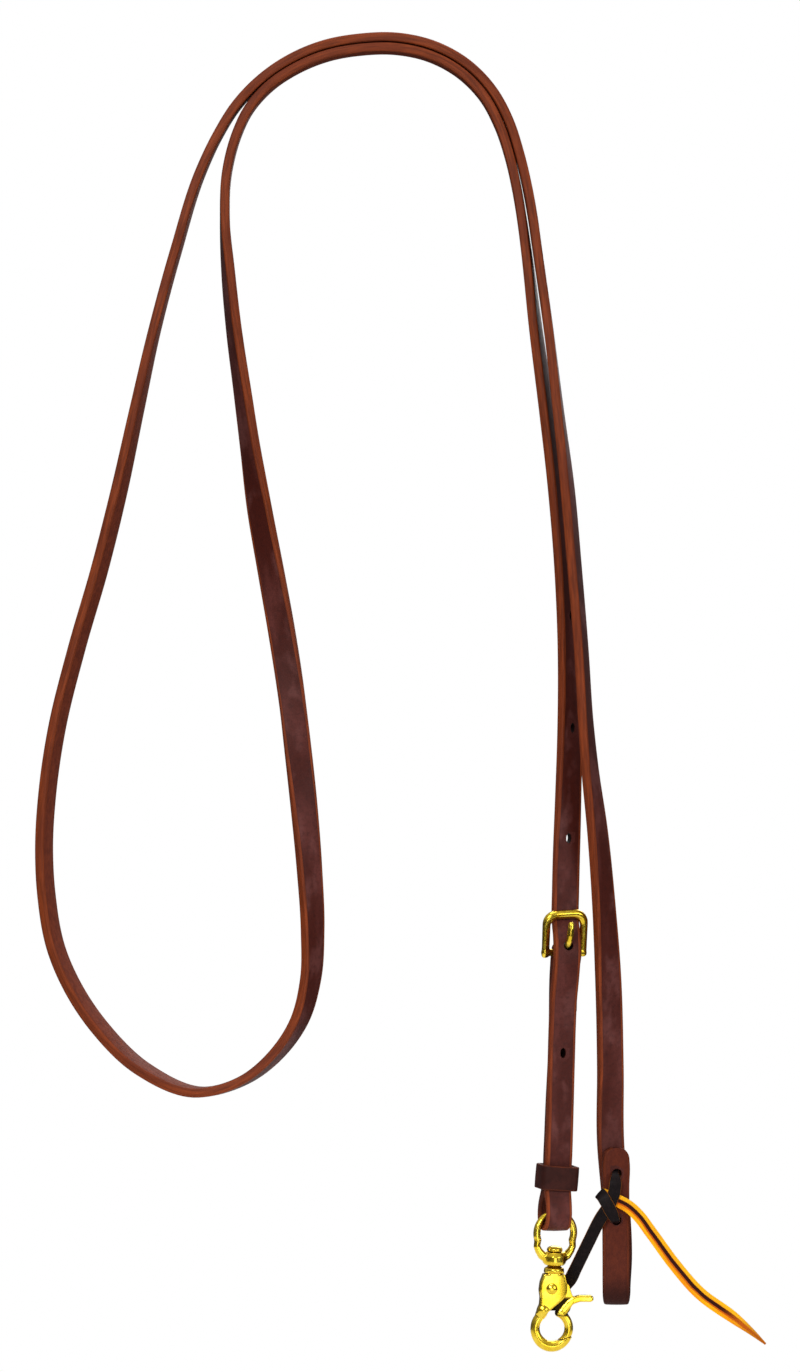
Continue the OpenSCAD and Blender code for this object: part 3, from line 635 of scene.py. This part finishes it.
def keeper_leather():
    """Dark, waxed leather with brown cut edges."""
    m = Shader("keeper_leather")
    lay, mask = m.layer("lay"), m.layer("mask")
    u = m.split(mask)[0]
    cloud = m.fibres(lay, (120, 120, 120), 3.0)
    fine = m.noise(lay, 500.0, 4.0, 0.7)
    face = m.mix(m.step(cloud, 0.3, 0.7), srgb(45, 20, 16), srgb(61, 29, 24))
    face = m.mix(m.step(fine, 0.45, 0.75, 0.0, 0.5), face, srgb(38, 21, 18))
    wobble = m.fibres(lay, (200, 400, 400), 2.0)
    edge = m.step(m.math("MULTIPLY_ADD", wobble, 0.06, m.math("ABSOLUTE", u)), 0.93, 0.98)
    fibre = m.fibres(lay, (160, 900, 900), 4.0, 0.65)
    bare = m.mix(m.step(fibre, 0.3, 0.7), srgb(66, 30, 20), srgb(92, 42, 24))
    colour = m.mix(edge, face, bare)
    pores = m.pores(lay, 800.0)
    grain = m.math("MULTIPLY_ADD", m.step(pores, 0.0, 0.25), 0.6, m.times(fine, 0.6))
    return m.set(Base_Color=colour, Roughness=m.step(cloud, 0.3, 0.7, 0.5, 0.62), Specular_IOR_Level=0.09,
                 Normal=m.bump(grain, 0.2, 0.00014))


def lace_leather():
    """Latigo: black on the grain side, yellow on the flesh side."""
    m = Shader("lace_leather")
    lay, mask = m.layer("lay"), m.layer("mask")
    u, v, along = m.split(mask)
    fine = m.noise(lay, 600.0, 4.0, 0.7)
    streak = m.fibres(lay, (80, 700, 700), 3.0)
    grain = m.mix(m.step(fine, 0.4, 0.7), srgb(15, 9, 10), srgb(25, 16, 17))
    # flesh side: bright yellow bands; the dark middle and its red fringe are painted shade in the curl's
    # groove
    flesh = m.mix(m.step(streak, 0.3, 0.7), srgb(232, 140, 8), srgb(252, 178, 14))
    flesh = m.mix(m.step(u, -0.2, -0.7, 0.0, 0.5), flesh, srgb(255, 202, 40))
    wander = m.math("MULTIPLY_ADD", m.fibres(lay, (120, 0, 0), 2.0), 0.16, 0.02)
    at = m.math("ADD", u, wander)
    shade_fringe = m.step(m.math("ABSOLUTE", m.math("ADD", at, -0.12)), 0.30, 0.50, 1.0, 0.0)
    groove_shade = m.step(m.math("ABSOLUTE", at), 0.24, 0.33, 1.0, 0.0)
    near_tip = m.step(along, 0.88, 0.95, 1.0, 0.0)
    flesh = m.mix(m.times(shade_fringe, 0.8), flesh, srgb(180, 52, 6))
    flesh = m.mix(m.times(groove_shade, near_tip), flesh, srgb(52, 16, 10))
    flesh = m.mix(m.step(along, 0.90, 0.99, 0.0, 0.8), flesh, srgb(160, 80, 16))
    is_flesh = m.step(m.times(v, -1.0), 0.10, 0.5)
    cut = m.step(m.math("ABSOLUTE", u), 0.93, 0.99)
    colour = m.mix(cut, grain, srgb(150, 88, 24))
    colour = m.mix(is_flesh, colour, flesh)
    normal = m.bump(fine, 0.18, 0.00012)
    return m.set(Base_Color=colour, Roughness=m.step(is_flesh, 0.0, 1.0, 0.46, 0.62), Normal=normal,
                 Specular_IOR_Level=0.08)


def cast_brass():
    """Polished yellow brass, painted brown as shade in its corners; the mask layer's first value paints
    recesses black as shade.
    """
    m = Shader("cast_brass")
    place = m.node("TexCoord", out=3)
    cloud = m.noise(place, 160.0, 3.0)
    sand = m.noise(place, 900.0, 3.0, 0.6)
    open_sky = m.node("AmbientOcclusion", {"Distance": 0.003}, out=1, samples=16)
    colour = m.mix(m.step(cloud, 0.35, 0.7), (0.78, 0.52, 0.03, 1), (0.88, 0.65, 0.07, 1))
    # painted shade: brown where ambient occlusion finds corners and crevices
    colour = m.mix(m.step(open_sky, 0.75, 0.35, 0.0, 0.85), colour, (0.26, 0.13, 0.015, 1))
    # painted shade: the mask layer's first value blackens recesses
    painted_shade = m.split(m.layer("mask"))[0]
    colour = m.mix(painted_shade, colour, (0.03, 0.018, 0.006, 1))
    rough = m.math("MULTIPLY_ADD", painted_shade, 0.5, m.step(sand, 0.3, 0.7, 0.19, 0.25))
    normal = m.bump(sand, 0.03, 0.00003)
    normal = m.bump(m.noise(place, 150.0, 1.0), 0.04, 0.0004, normal)
    return m.set(Base_Color=colour, Roughness=rough, Normal=normal, Metallic=1.0)


def waxed_thread():
    m = Shader("waxed_thread")
    place = m.node("TexCoord", out=3)
    fuzz = m.noise(place, 4000.0, 3.0)
    colour = m.mix(m.step(fuzz, 0.3, 0.7), srgb(176, 152, 112), srgb(216, 198, 160))
    return m.set(Base_Color=colour, Roughness=0.55, Normal=m.bump(fuzz, 0.4, 0.0001))


def spring_steel():
    m = Shader("spring_steel")
    place = m.node("TexCoord", out=3)
    drawn = m.noise(place, 2500.0, 3.0)
    colour = m.mix(m.step(drawn, 0.3, 0.7), (0.42, 0.42, 0.44, 1), (0.62, 0.62, 0.64, 1))
    return m.set(Base_Color=colour, Metallic=1.0, Roughness=m.step(drawn, 0.3, 0.7, 0.25, 0.4),
                 Normal=m.bump(drawn, 0.2, 0.00005))


def pale_floor():
    m = Shader("pale_floor")
    soft = m.noise(m.node("TexCoord", out=3), 12.0, 2.0)
    return m.set(Base_Color=m.mix(soft, (0.86, 0.86, 0.86, 1), (0.90, 0.90, 0.90, 1)), Roughness=0.8)


LEATHER = harness_leather()
KEEPER_LEATHER = keeper_leather()
LACE_LEATHER = lace_leather()
BRASS = cast_brass()
THREAD = waxed_thread()
STEEL = spring_steel()


def dress(obj, material, body=None, node=None):
    """Gives a piece its material, slot, body and the CAD node that it stands for."""
    obj.data.materials.clear()
    obj.data.materials.append(material)
    if body:
        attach(obj, body)
    if node:
        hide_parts(node)
    return obj


def cast(obj, body, node):
    """Makes a piece a brass casting."""
    return dress(obj, BRASS, body, node)


# ---- strap
HOLE_R = 2.2
HOLE_NARROW = 0.55  # the strap's pull has drawn the free holes long
TONGUE_HOLE = END @ Vector((-1.4, -7.2, 3.3))
FREE_HOLES = (END @ Vector((-0.6, -3.3, -47.8)), (93.0, 1.8, -377), (94.2, 3.5, -324), (93, 4, -270))
LACE_HOLES = [(116.2, z) for z in (-538.7, -561)]
LACE_HOLE_LAYERS = ((5.7, 2.2, 0.3), (11.7, 1.35, 0.0))  # y, radius and flare
LACE_HOLE_REACH = 2.9  # short enough to leave the other layer whole
SLOT_X = 0.3
SLOT_HALF_W = 2.3
SLOT_R = 5.0
SLOT_LOW = -4.5
SLOT_BACK = 7

strap, rows, ahead, strap_length = band("strap", STRAP_ROWS, step=2.5, bevel=1.0, crown=0.2, bulge=0.12)
holes = [round_hole(rows, ahead, TONGUE_HOLE, HOLE_R, flare=0.25)]
holes += [round_hole(rows, ahead, p, HOLE_R, flare=0.35, across_factor=HOLE_NARROW) for p in FREE_HOLES]
holes += [round_hole(rows, ahead, (x, y, z), r, flare, reach=LACE_HOLE_REACH)
          for x, z in LACE_HOLES for y, r, flare in LACE_HOLE_LAYERS]
slot_angles = [math.pi * i / 12 for i in range(13)]
slot_outline = [(SLOT_R * math.cos(a), SLOT_R * math.sin(a)) for a in slot_angles]
slot_outline += [(-SLOT_R, SLOT_LOW), (SLOT_BACK, SLOT_LOW), (SLOT_BACK, 0)]
slot_xs = (SLOT_X - SLOT_HALF_W, SLOT_X + SLOT_HALF_W)
slot_verts = [list(END @ Vector((x, y, z))) for x in slot_xs for y, z in slot_outline]
holes.append((slot_verts, tube_faces(2, len(slot_outline))))
for verts, faces in holes:
    cut_away(strap, cutter(verts, faces))
dress(strap, LEATHER, "rein", "rein_strap")

# ---- lace
lace, lace_rows, _, lace_length = band("lace", LACE_ROWS, step=0.8, bevel=0.5, crown=0.12, bulge=0.0)
dress(lace, LACE_LEATHER, "rein", "tie_lace")


# ---- thread
THREAD_STEPS = 5
THREAD_SIDES = 12
PLY_DEPTH = 0.22  # of two plies, as a part of the thread's radius
PLY_TWIST = 4.0  # radians per millimetre
THREAD_UP = (0.3, 0.9, 0.3)


def thread_stitch(points, r):
    """A short stitch of two-ply thread through points in millimetres; returns verts and faces."""
    path = np.array(points, float)
    u = np.linspace(0, len(path) - 1, (len(path) - 1) * THREAD_STEPS + 1)
    line = np.stack([np.interp(u, np.arange(len(path)), path[:, k]) for k in range(3)], 1)
    for _ in range(2):
        line[1:-1] = (line[:-2] + 2 * line[1:-1] + line[2:]) / 4
    forward = unit(np.gradient(line, axis=0))
    side = unit(np.cross(forward, THREAD_UP))
    up = np.cross(side, forward)
    along = way_along(line)
    verts = []
    for i, p in enumerate(line):
        for a in [2 * math.pi * k / THREAD_SIDES for k in range(THREAD_SIDES)]:
            q = r * (1 + PLY_DEPTH * math.cos(2 * a - along[i] * PLY_TWIST))
            verts.append(p + q * (math.cos(a) * side[i] + math.sin(a) * up[i]))
    return verts, tube_faces(len(line), THREAD_SIDES)


def thread_piece(name, stitches, body, node, place):
    """All the stitches of one seam, as one piece."""
    verts = []
    faces = []
    for v, f in stitches:
        faces += [tuple(i + len(verts) for i in face) for face in outward(np.array(v), f)]
        verts += v
    return dress(new_mesh(name, verts, faces, place), THREAD, body, node)


STITCH_Y = 6.6
STITCH_R = 0.42
STITCH_XS = (-2.7, 5.9)
STITCH_ZS = (-12, -16.2, -20.4, -24.6)
STITCH_LINE = ((-1.2, 0.2), (0.15, -0.3), (0.25, -1.4), (0.15, -2.5), (-1.2, -3.0))  # y and z
stitches = [thread_stitch([(x, STITCH_Y + y, z + dz) for y, dz in STITCH_LINE], STITCH_R)
            for x in STITCH_XS for z in STITCH_ZS]
thread_piece("buckle_thread", stitches, "rein", "buckle_stitches", END)

# ---- keeper
KEEPER_X = 0.4
KEEPER_Z = -108
KEEPER_TILT = 3
KEEPER_H = 11.5
KEEPER_T = 2.0
KEEPER_END_T = 1.1  # skived ends, which lap at the back
KEEPER_IN_W = 15.1
KEEPER_IN_D = 10.5
KEEPER_CORNER = 1.6
KEEPER_BEVEL = 0.55
KEEPER_BULGE = 0.1
KEEPER_CROWN = 0.08
FRONT_BOW = 0.25  # the front stands out by this in its middle
FRONT_BOW_HALF = 5
SKIVE_START = 6
SKIVE_END = 10.2
LAP = 7.2
LAP_RISE = 4
LAP_LIFT = 1.25
KEEPER_PLACE = (END @ Matrix.Translation((KEEPER_X, 0, KEEPER_Z))
                @ Matrix.Rotation(math.radians(KEEPER_TILT), 4, "Y") @ Matrix.Translation((0, 0, -KEEPER_Z)))


def keeper_path():
    """Points and outward directions round the keeper's inside, from the back on past one whole turn."""
    hw, hd, r = KEEPER_IN_W / 2, KEEPER_IN_D / 2, KEEPER_CORNER
    left = [(-hw, y, -1, 0) for y in (1.5, -1.5)]
    front = [(x, -hd - FRONT_BOW * (1 - (x / FRONT_BOW_HALF) ** 2), 0, -1) for x in (-3.5, -2, 0, 2, 3.5)]
    right = [(hw, y, 1, 0) for y in (-1.5, 1.5)]
    path = [(x, hd, 0, 1) for x in (3.4, 2, 0, -2)]
    for sx, sy, start, side in ((-1, 1, 90, left), (-1, -1, 180, front), (1, -1, 270, right), (1, 1, 0, [])):
        for a in [math.radians(start + 15 * k) for k in range(7)]:
            c, s = math.cos(a), math.sin(a)
            path.append((sx * (hw - r) + r * c, sy * (hd - r) + r * s, c, s))
        path += side
    return np.array(path + [(x, hd, 0, 1) for x in (4, 3.4, 2, 0, -2, -3.4)])


def keeper_loop():
    """The keeper's strip of leather round its path, its last stretch lifted over its first."""
    path = keeper_path()
    run = way_along(path[:, :2])
    total = run[-1]
    lift = LAP_LIFT * ramp(run, total - LAP - LAP_RISE, total - LAP)
    full = np.clip(np.minimum(run / SKIVE_START, (total - run) / SKIVE_END), 0, 1)
    half_t = (KEEPER_END_T + (KEEPER_T - KEEPER_END_T) * full) / 2
    verts, lay, mask = [], [], []
    outline = band_outline()
    for (x, y, out_x, out_y), at, up, half in zip(path, run, lift, half_t):
        for f in outline:
            h = f[0] * KEEPER_H / 2 + f[1] * KEEPER_BEVEL + f[2] * KEEPER_BULGE
            d = f[3] * half + f[4] * min(KEEPER_BEVEL, half * BEVEL_LIMIT) - KEEPER_CROWN * f[5]
            away = up + half + d
            verts.append((x + out_x * away, y + out_y * away, KEEPER_Z + h))
            lay.append((at * MM, h * MM, d * MM))
            mask.append((h / (KEEPER_H / 2), d / half, at / total))
    faces = outward(np.array(verts), tube_faces(len(path), len(outline)))
    obj = new_mesh("keeper_loop", verts, faces, KEEPER_PLACE)
    vector_layer(obj, "lay", lay)
    vector_layer(obj, "mask", mask)
    return obj


dress(keeper_loop(), KEEPER_LEATHER, "keeper_loop", "keeper")

LAP_Y = KEEPER_IN_D / 2 + 2.35
LAP_STITCH_R = 0.4
LAP_STITCH_ZS = (-3, 0, 3)
LAP_STITCH = ((-1.9, -0.9, 0), (-1.4, 0.1, 0), (0, 0.2, 0.2), (1.4, 0.1, 0), (1.9, -0.9, 0))  # x, y, z
stitches = [thread_stitch([(x, LAP_Y + y, KEEPER_Z + z + dz) for x, y, dz in LAP_STITCH], LAP_STITCH_R)
            for z in LAP_STITCH_ZS]
thread_piece("keeper_thread", stitches, "keeper_loop", "keeper_stitches", KEEPER_PLACE)

# ---- buckle
HEEL_R = 1.7
BORE_PLAY = 0.06
LEAN = Matrix.Rotation(math.radians(12), 4, "X")
SWAY = Matrix.Rotation(math.radians(-4), 4, "Y")
LEG_X = 9.8
LEG_LOW = -0.6
LEG_MID = 5
TOP_Z = 19.3
CORNER_R = 5.0
LIP_IN = 0.9  # the inner lip's share of the frame's width
LIP_DROP = 1.1  # and its drop below the frame's top bar
LIP_DROP_FROM = 15
LIP_R = 1.3
f = Field((-14, -4.5, -4.5), (13.5, 4.5, 23.5), 0.22)
frame_line = [(-LEG_X, 0, LEG_LOW), (-LEG_X, 0, LEG_MID), (-LEG_X, 0, TOP_Z - CORNER_R)]
frame_line += arc_points(-LEG_X + CORNER_R, TOP_Z - CORNER_R, CORNER_R, 180, 90, 6)[1:]
frame_line += arc_points(LEG_X - CORNER_R, TOP_Z - CORNER_R, CORNER_R, 90, 0, 6)
frame_line += [(LEG_X, 0, LEG_MID), (LEG_X, 0, LEG_LOW)]
frame_radii = [1.5, 1.5, 1.6, 1.7, 1.8, 1.9] + [1.95] * 6 + [1.9, 1.8, 1.75, 1.7, 1.65, 1.6]
frame_line = [tuple(SWAY @ Vector(p)) for p in frame_line]
rim = f.rod(frame_line, frame_radii)
lip_line = [(x * LIP_IN, 0.0, z - LIP_DROP if z > LIP_DROP_FROM else z) for x, _, z in frame_line]
rim = blend(rim, f.rod(lip_line, LIP_R), 0.25)
rim = blend(rim, f.rod([(-LEG_X, 0, 0), (LEG_X, 0, 0)], HEEL_R), 0.5)
buckle = cast(f.mesh("buckle_frame_casting", rim, END @ LEAN), "buckle", "buckle_frame")

# ---- tongue
f = Field((-4, -17, -4.5), (4, 4.5, 17.5), 0.18)
tongue_line = [(-0.4, -2.2, 1.8), (-1, -5.5, 2.9), (-1.6, -8.2, 3.6), (-1.8, -10.2, 4.6), (-1.8, -11.8, 6.6),
               (-1.75, -12.8, 9.2), (-1.7, -13.4, 12.4), (-1.65, -13.5, 14.2)]
tongue_radii = [1.3, 1.3, 1.35, 1.45, 1.6, 1.65, 1.6, 1.4]
loop_line = [(0.5, -1.8), (4.2, -1.8), (4.7, -1.3), (4.7, 1.3), (4.2, 1.8), (0.5, 1.8)]
from_heel = np.sqrt(f.y ** 2 + f.z ** 2)
tongue = blend(f.rod(tongue_line, tongue_radii), polygon(from_heel, f.x, loop_line), 1.0)
tongue = carve(tongue, from_heel - (HEEL_R + BORE_PLAY), 0.15)


def tongue_depth(x, y, z):
    """Painted shade: the tongue is dull and dark where it lies in the strap's hole, and black inside."""
    return 0.65 * ramp(y, -12.4, -10.4) + 0.35 * ramp(y, -9.5, -7)


tongue = cast(f.mesh("buckle_tongue_casting", tongue, END, tongue_depth), "tongue", "buckle_tongue")

# ---- swivel eye
EYE_Z = -134.8
EYE_R = 9.4
HUB_TOP = -143.8
HUB_LOW = -150.2
HUB_R = 5.6
STEM_R = 2.2
EYE_WIRE = 1.75
f = Field((-13, -6.6, -151.5), (13, 6.6, -122.5), 0.22)
leg_line = [(8.83, 0, -138.4), (9.15, 0, -141.2), (8.1, 0, -143.4), (6.3, 0, -145.6), (3.4, 0, -147)]
leg_radii = [1.7, 1.6, 1.8, 2.15, 2.5]
eye = f.rod(arc_points(0, EYE_Z, EYE_R, 200, -20, 22), EYE_WIRE)
for side in (-1, 1):
    eye = blend(eye, f.rod([(side * x, y, z) for x, y, z in leg_line], leg_radii), 0.3)
hub = f.turned([(0, HUB_LOW), (HUB_R - 1, HUB_LOW), (HUB_R - 0.15, HUB_LOW + 1), (HUB_R, HUB_LOW + 2.2),
                (HUB_R - 0.05, HUB_LOW + 4.4), (HUB_R - 1.3, HUB_TOP - 0.1), (0, HUB_TOP)])
eye = blend(eye, hub, 0.9)
eye = carve(eye, np.sqrt(f.x ** 2 + f.y ** 2) - (STEM_R + BORE_PLAY), 0.2)
cast(f.mesh("swivel_eye_casting", eye, SNAP), "swivel_eye", "snap_eye")

# ---- snap body
RIVET = (-1.1, -161.3)
RIVET_R = 1.5
HOOK_Z = -180.6
HOOK_IN = 5.8
HOOK_OUT = 10.4
HOOK_RING = (HOOK_IN + HOOK_OUT) / 2
HOOK_WIRE = (HOOK_OUT - HOOK_IN) / 2
RING_START = 130  # the ring's wire, in degrees
RING_SWEEP = 214
RING_STEPS = 30
RING_THICKEST = 268
RING_SWELL = 0.5
MEET_R = 25.0  # the gate's tip and the fixed jaw meet on this round face about the rivet
MEET_GAP = 0.2
SLOT_HALF_T = 2.2
BODY_T = 7.0
HEAD_R = 3.8
f = Field((-12.5, -5.4, -194), (12.5, 5.4, -136), 0.22)
plate_line = [(-4.4, -152.6), (4.4, -152.6), (5.5, -155), (6.4, -158.6), (6.7, -162), (6.2, -164.4),
              (4.6, -166.6), (1.8, -169.1), (-1.4, -171.9), (-4, -174.4), (-5.5, -174.6), (-8, -173.6),
              (-6.6, -169.6), (-6.4, -166), (-7, -162.4), (-6.6, -158.6), (-5.4, -155)]
plate = f.prism(plate_line, -BODY_T / 2, BODY_T / 2, 0.7, dome=0.3, middle=(-1, -161))
plate = blend(plate, f.rod([(-4.6, -1.2, -172), (-4.6, 1.2, -172)], 2.5), 1.2)
cheek_line = [(-5, -166), (5.2, -165.4), (4.2, -169.6), (1.2, -173.4), (-4, -174.4)]
plate = blend(plate, f.prism(cheek_line, 0.5, BODY_T / 2, 0.5), 0.3)
# The ring's wire is thickest at the bottom
ring_angles = [RING_START + RING_SWEEP * k / RING_STEPS for k in range(RING_STEPS + 1)]
swell = [max(0.0, math.cos(math.radians(a - RING_THICKEST))) ** 2 * RING_SWELL for a in ring_angles]
ring_line = [arc_points(0, HOOK_Z, HOOK_RING + k, a, a, 1)[0] for a, k in zip(ring_angles, swell)]
ring = f.rod(ring_line, [HOOK_WIRE + k for k in swell])
snap = blend(plate, ring, 1.4)
snap = carve(snap, f.pin(0, HOOK_Z, HOOK_IN - 0.05), 0.8)
collar_line = [(0, -153.8), (4.2, -153.8), (4.75, -153.3), (4.9, -152.6), (4.75, -151.9), (4.2, -151.4),
               (3.4, -151.1), (3.1, -150.36), (STEM_R, -150.36), (STEM_R, -143.64), (HEAD_R - 0.3, -143.64),
               (HEAD_R, -143.3), (HEAD_R, -142.6), (3.5, -141.9), (2.5, -141.3), (1.2, -141.0), (0, -140.9)]
snap = blend(snap, f.turned(collar_line), 0.35)
snap = carve(snap, f.turned([(4.0, -153.9), (6, -153.9), (6, -154.4), (4.0, -154.4)]), 0.4)
slot_line = [(-5.4, -155.8), (12, -155.8), (12, -178), (-2.6, -178), (-2.6, -170.5), (-5.4, -166.4)]
snap = carve(snap, f.prism(slot_line, -SLOT_HALF_T, SLOT_HALF_T, 0.2), 0.3)
meet_line = [(-2.2, -192.5), (21, -192.5), (21, -172.6), (-2.2, -172.6)]
snap = carve(snap, np.maximum(f.pin(*RIVET, MEET_R + MEET_GAP), polygon(f.x, f.z, meet_line)), 0.5)
snap = carve(snap, f.pin(*RIVET, RIVET_R), 0.15)


def slot_depth(x, y, z):
    """Painted shade inside the body's slot below the rivet, where the casting is painted black."""
    return (ramp(y, -2.4, -2.0) * ramp(y, 3.2, 2.9) * ramp(x, -3.2, -2.6) * ramp(z, -164, -165.5)
            * ramp(z, -175.5, -174.5))


cast(f.mesh("snap_body_casting", snap, SWIVEL, slot_depth), "hook", "snap_body")

# ---- gate
GATE_Y = -0.7
GATE_T = 2.2
GATE_HUB_R = 4.0
JAW_R = 2.1
LEVER_HALF_T = 2.1
f = Field((-6, -3.2, -192), (21.5, 3.2, -156), 0.2)
gate_hub = np.maximum(f.pin(*RIVET, GATE_HUB_R), np.abs(f.y - GATE_Y) - GATE_T / 2)
arm_line = [(1.6, -158.4), (6.4, -158.6), (7.4, -159.6), (9, -164), (9.8, -165.2), (9.6, -167), (8.2, -171.8),
            (6, -174.6), (2.6, -172.6), (-2.8, -164.9)]
gate = blend(gate_hub, f.prism(arm_line, GATE_Y - GATE_T / 2, GATE_Y + GATE_T / 2, 0.25), 0.4)
jaw = f.rod(arc_points(0, HOOK_Z, HOOK_RING, -75, 67, 22), JAW_R)
gate = blend(gate, np.maximum(jaw, f.pin(*RIVET, MEET_R)), 0.9)
lever_line = [(2.6, -173.4), (4.6, -170.2), (7, -167.3), (9.8, -165.2), (12.4, -164.4), (18.3, -164.3),
              (19.4, -165), (19.4, -166.6), (18.3, -167.4), (13, -167.5), (10, -168.6), (7.8, -170.6),
              (6.4, -172.8), (5, -173.8)]
gate = blend(gate, f.prism(lever_line, -LEVER_HALF_T, LEVER_HALF_T, 0.75), 0.7)
gate = np.maximum(gate, -f.pin(*RIVET, RIVET_R + BORE_PLAY))


def arm_depth(x, y, z):
    """The arm's flat side between the body's edge and the lever lies in the slot's shadow."""
    return ramp(polygon(x, z, lever_line), 0.1, 0.6) * ramp(z, -164.6, -166.4) * ramp(z, -175, -174)


cast(f.mesh("snap_gate_casting", gate, SWIVEL, arm_depth), "gate", "snap_gate")

# ---- rivet
f = Field((-4.9, -6, -165.2), (2.7, 6, -157.4), 0.16)
# The domed head's outline: radius, and height over the body's face
head_line = [(RIVET_R, -0.05), (2.8, -0.05), (2.7, 0.3), (2.0, 1.0), (1.0, 1.4), (0, 1.5)]
rivet_line = [(r, -BODY_T / 2 - h) for r, h in reversed(head_line)]
rivet_line += [(r, BODY_T / 2 + h) for r, h in head_line]
rivet = polygon(f.pin(*RIVET, 0), f.y, rivet_line)
cast(f.mesh("snap_rivet_pin", rivet, SWIVEL), "hook", "snap_rivet")

# ---- carried CAD node
dress(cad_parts["gate_spring"], STEEL)

# ---- floor, world and lights
FLOOR_X = 10
FLOOR_Z = -700
FLOOR_R = 420
FLOOR_SIDES = 96
floor_profile = [(FLOOR_R - 4, -12), (FLOOR_R, -8), (FLOOR_R, -3), (FLOOR_R - 3, 0)]
floor_angles = [2 * math.pi * k / FLOOR_SIDES for k in range(FLOOR_SIDES)]
floor_verts = [(FLOOR_X + r * math.cos(a), r * math.sin(a), FLOOR_Z + h)
               for r, h in floor_profile for a in floor_angles]
floor_faces = outward(np.array(floor_verts), tube_faces(len(floor_profile), FLOOR_SIDES))
floor = new_mesh("floor", floor_verts, floor_faces, smooth_angle=30)
floor.data.materials.append(pale_floor())

# Grey light level against height, from straight below to straight above
SKY = [(0.0, 0.03), (0.40, 0.05), (0.55, 0.14), (0.75, 0.45), (1.0, 0.7)]


def studio_world():
    """A sky that lights the object, and plain white where the camera looks past it."""
    world = bpy.data.worlds.new("studio")
    world.use_nodes = True
    nodes, links = world.node_tree.nodes, world.node_tree.links
    nodes.clear()
    kinds = ("TexCoord", "SeparateXYZ", "Math", "ValToRGB", "Background", "Background", "LightPath",
             "MixShader", "OutputWorld")
    coord, axes, height, sky, lit, seen, ray, mixer, out = [nodes.new("ShaderNode" + kind) for kind in kinds]
    height.operation = "MULTIPLY_ADD"
    height.inputs[1].default_value = 0.5
    height.inputs[2].default_value = 0.5
    seen.inputs[0].default_value = (1, 1, 1, 1)
    for at, _ in SKY[1:-1]:
        sky.color_ramp.elements.new(at)
    for element, (at, level) in zip(sky.color_ramp.elements, SKY):
        element.position = at
        element.color = (level, level, level * 1.02, 1)
    for source, target in ((coord.outputs["Generated"], axes.inputs[0]), (axes.outputs[2], height.inputs[0]),
                           (height.outputs[0], sky.inputs[0]), (sky.outputs[0], lit.inputs[0]),
                           (ray.outputs["Is Camera Ray"], mixer.inputs[0]), (lit.outputs[0], mixer.inputs[1]),
                           (seen.outputs[0], mixer.inputs[2]), (mixer.outputs[0], out.inputs[0])):
        links.new(source, target)
    return world


def area_light(name, place, size, power, colour=(1, 1, 1)):
    """A square light that looks at the middle of the object."""
    data = bpy.data.lights.new(name, "AREA")
    data.size = size
    data.energy = power
    data.color = colour
    obj = bpy.data.objects.new(name, data)
    scene.collection.objects.link(obj)
    obj.location = place
    obj.rotation_euler = (Vector(MIDDLE) - Vector(place)).to_track_quat("-Z", "Y").to_euler()


MIDDLE = (0.02, 0, -0.33)
scene.world = studio_world()
area_light("key", (-0.55, -2.3, 0.45), 0.6, 28, (1.0, 0.99, 0.97))
area_light("card", (0.42, -2.2, -0.95), 0.7, 5.4)
area_light("fill", (1.5, -1.4, -0.2), 0.8, 9, (0.94, 0.96, 1.0))
area_light("top", (0.0, -0.2, 1.3), 0.9, 12)
area_light("back", (0.4, 1.7, 0.5), 1.0, 14)
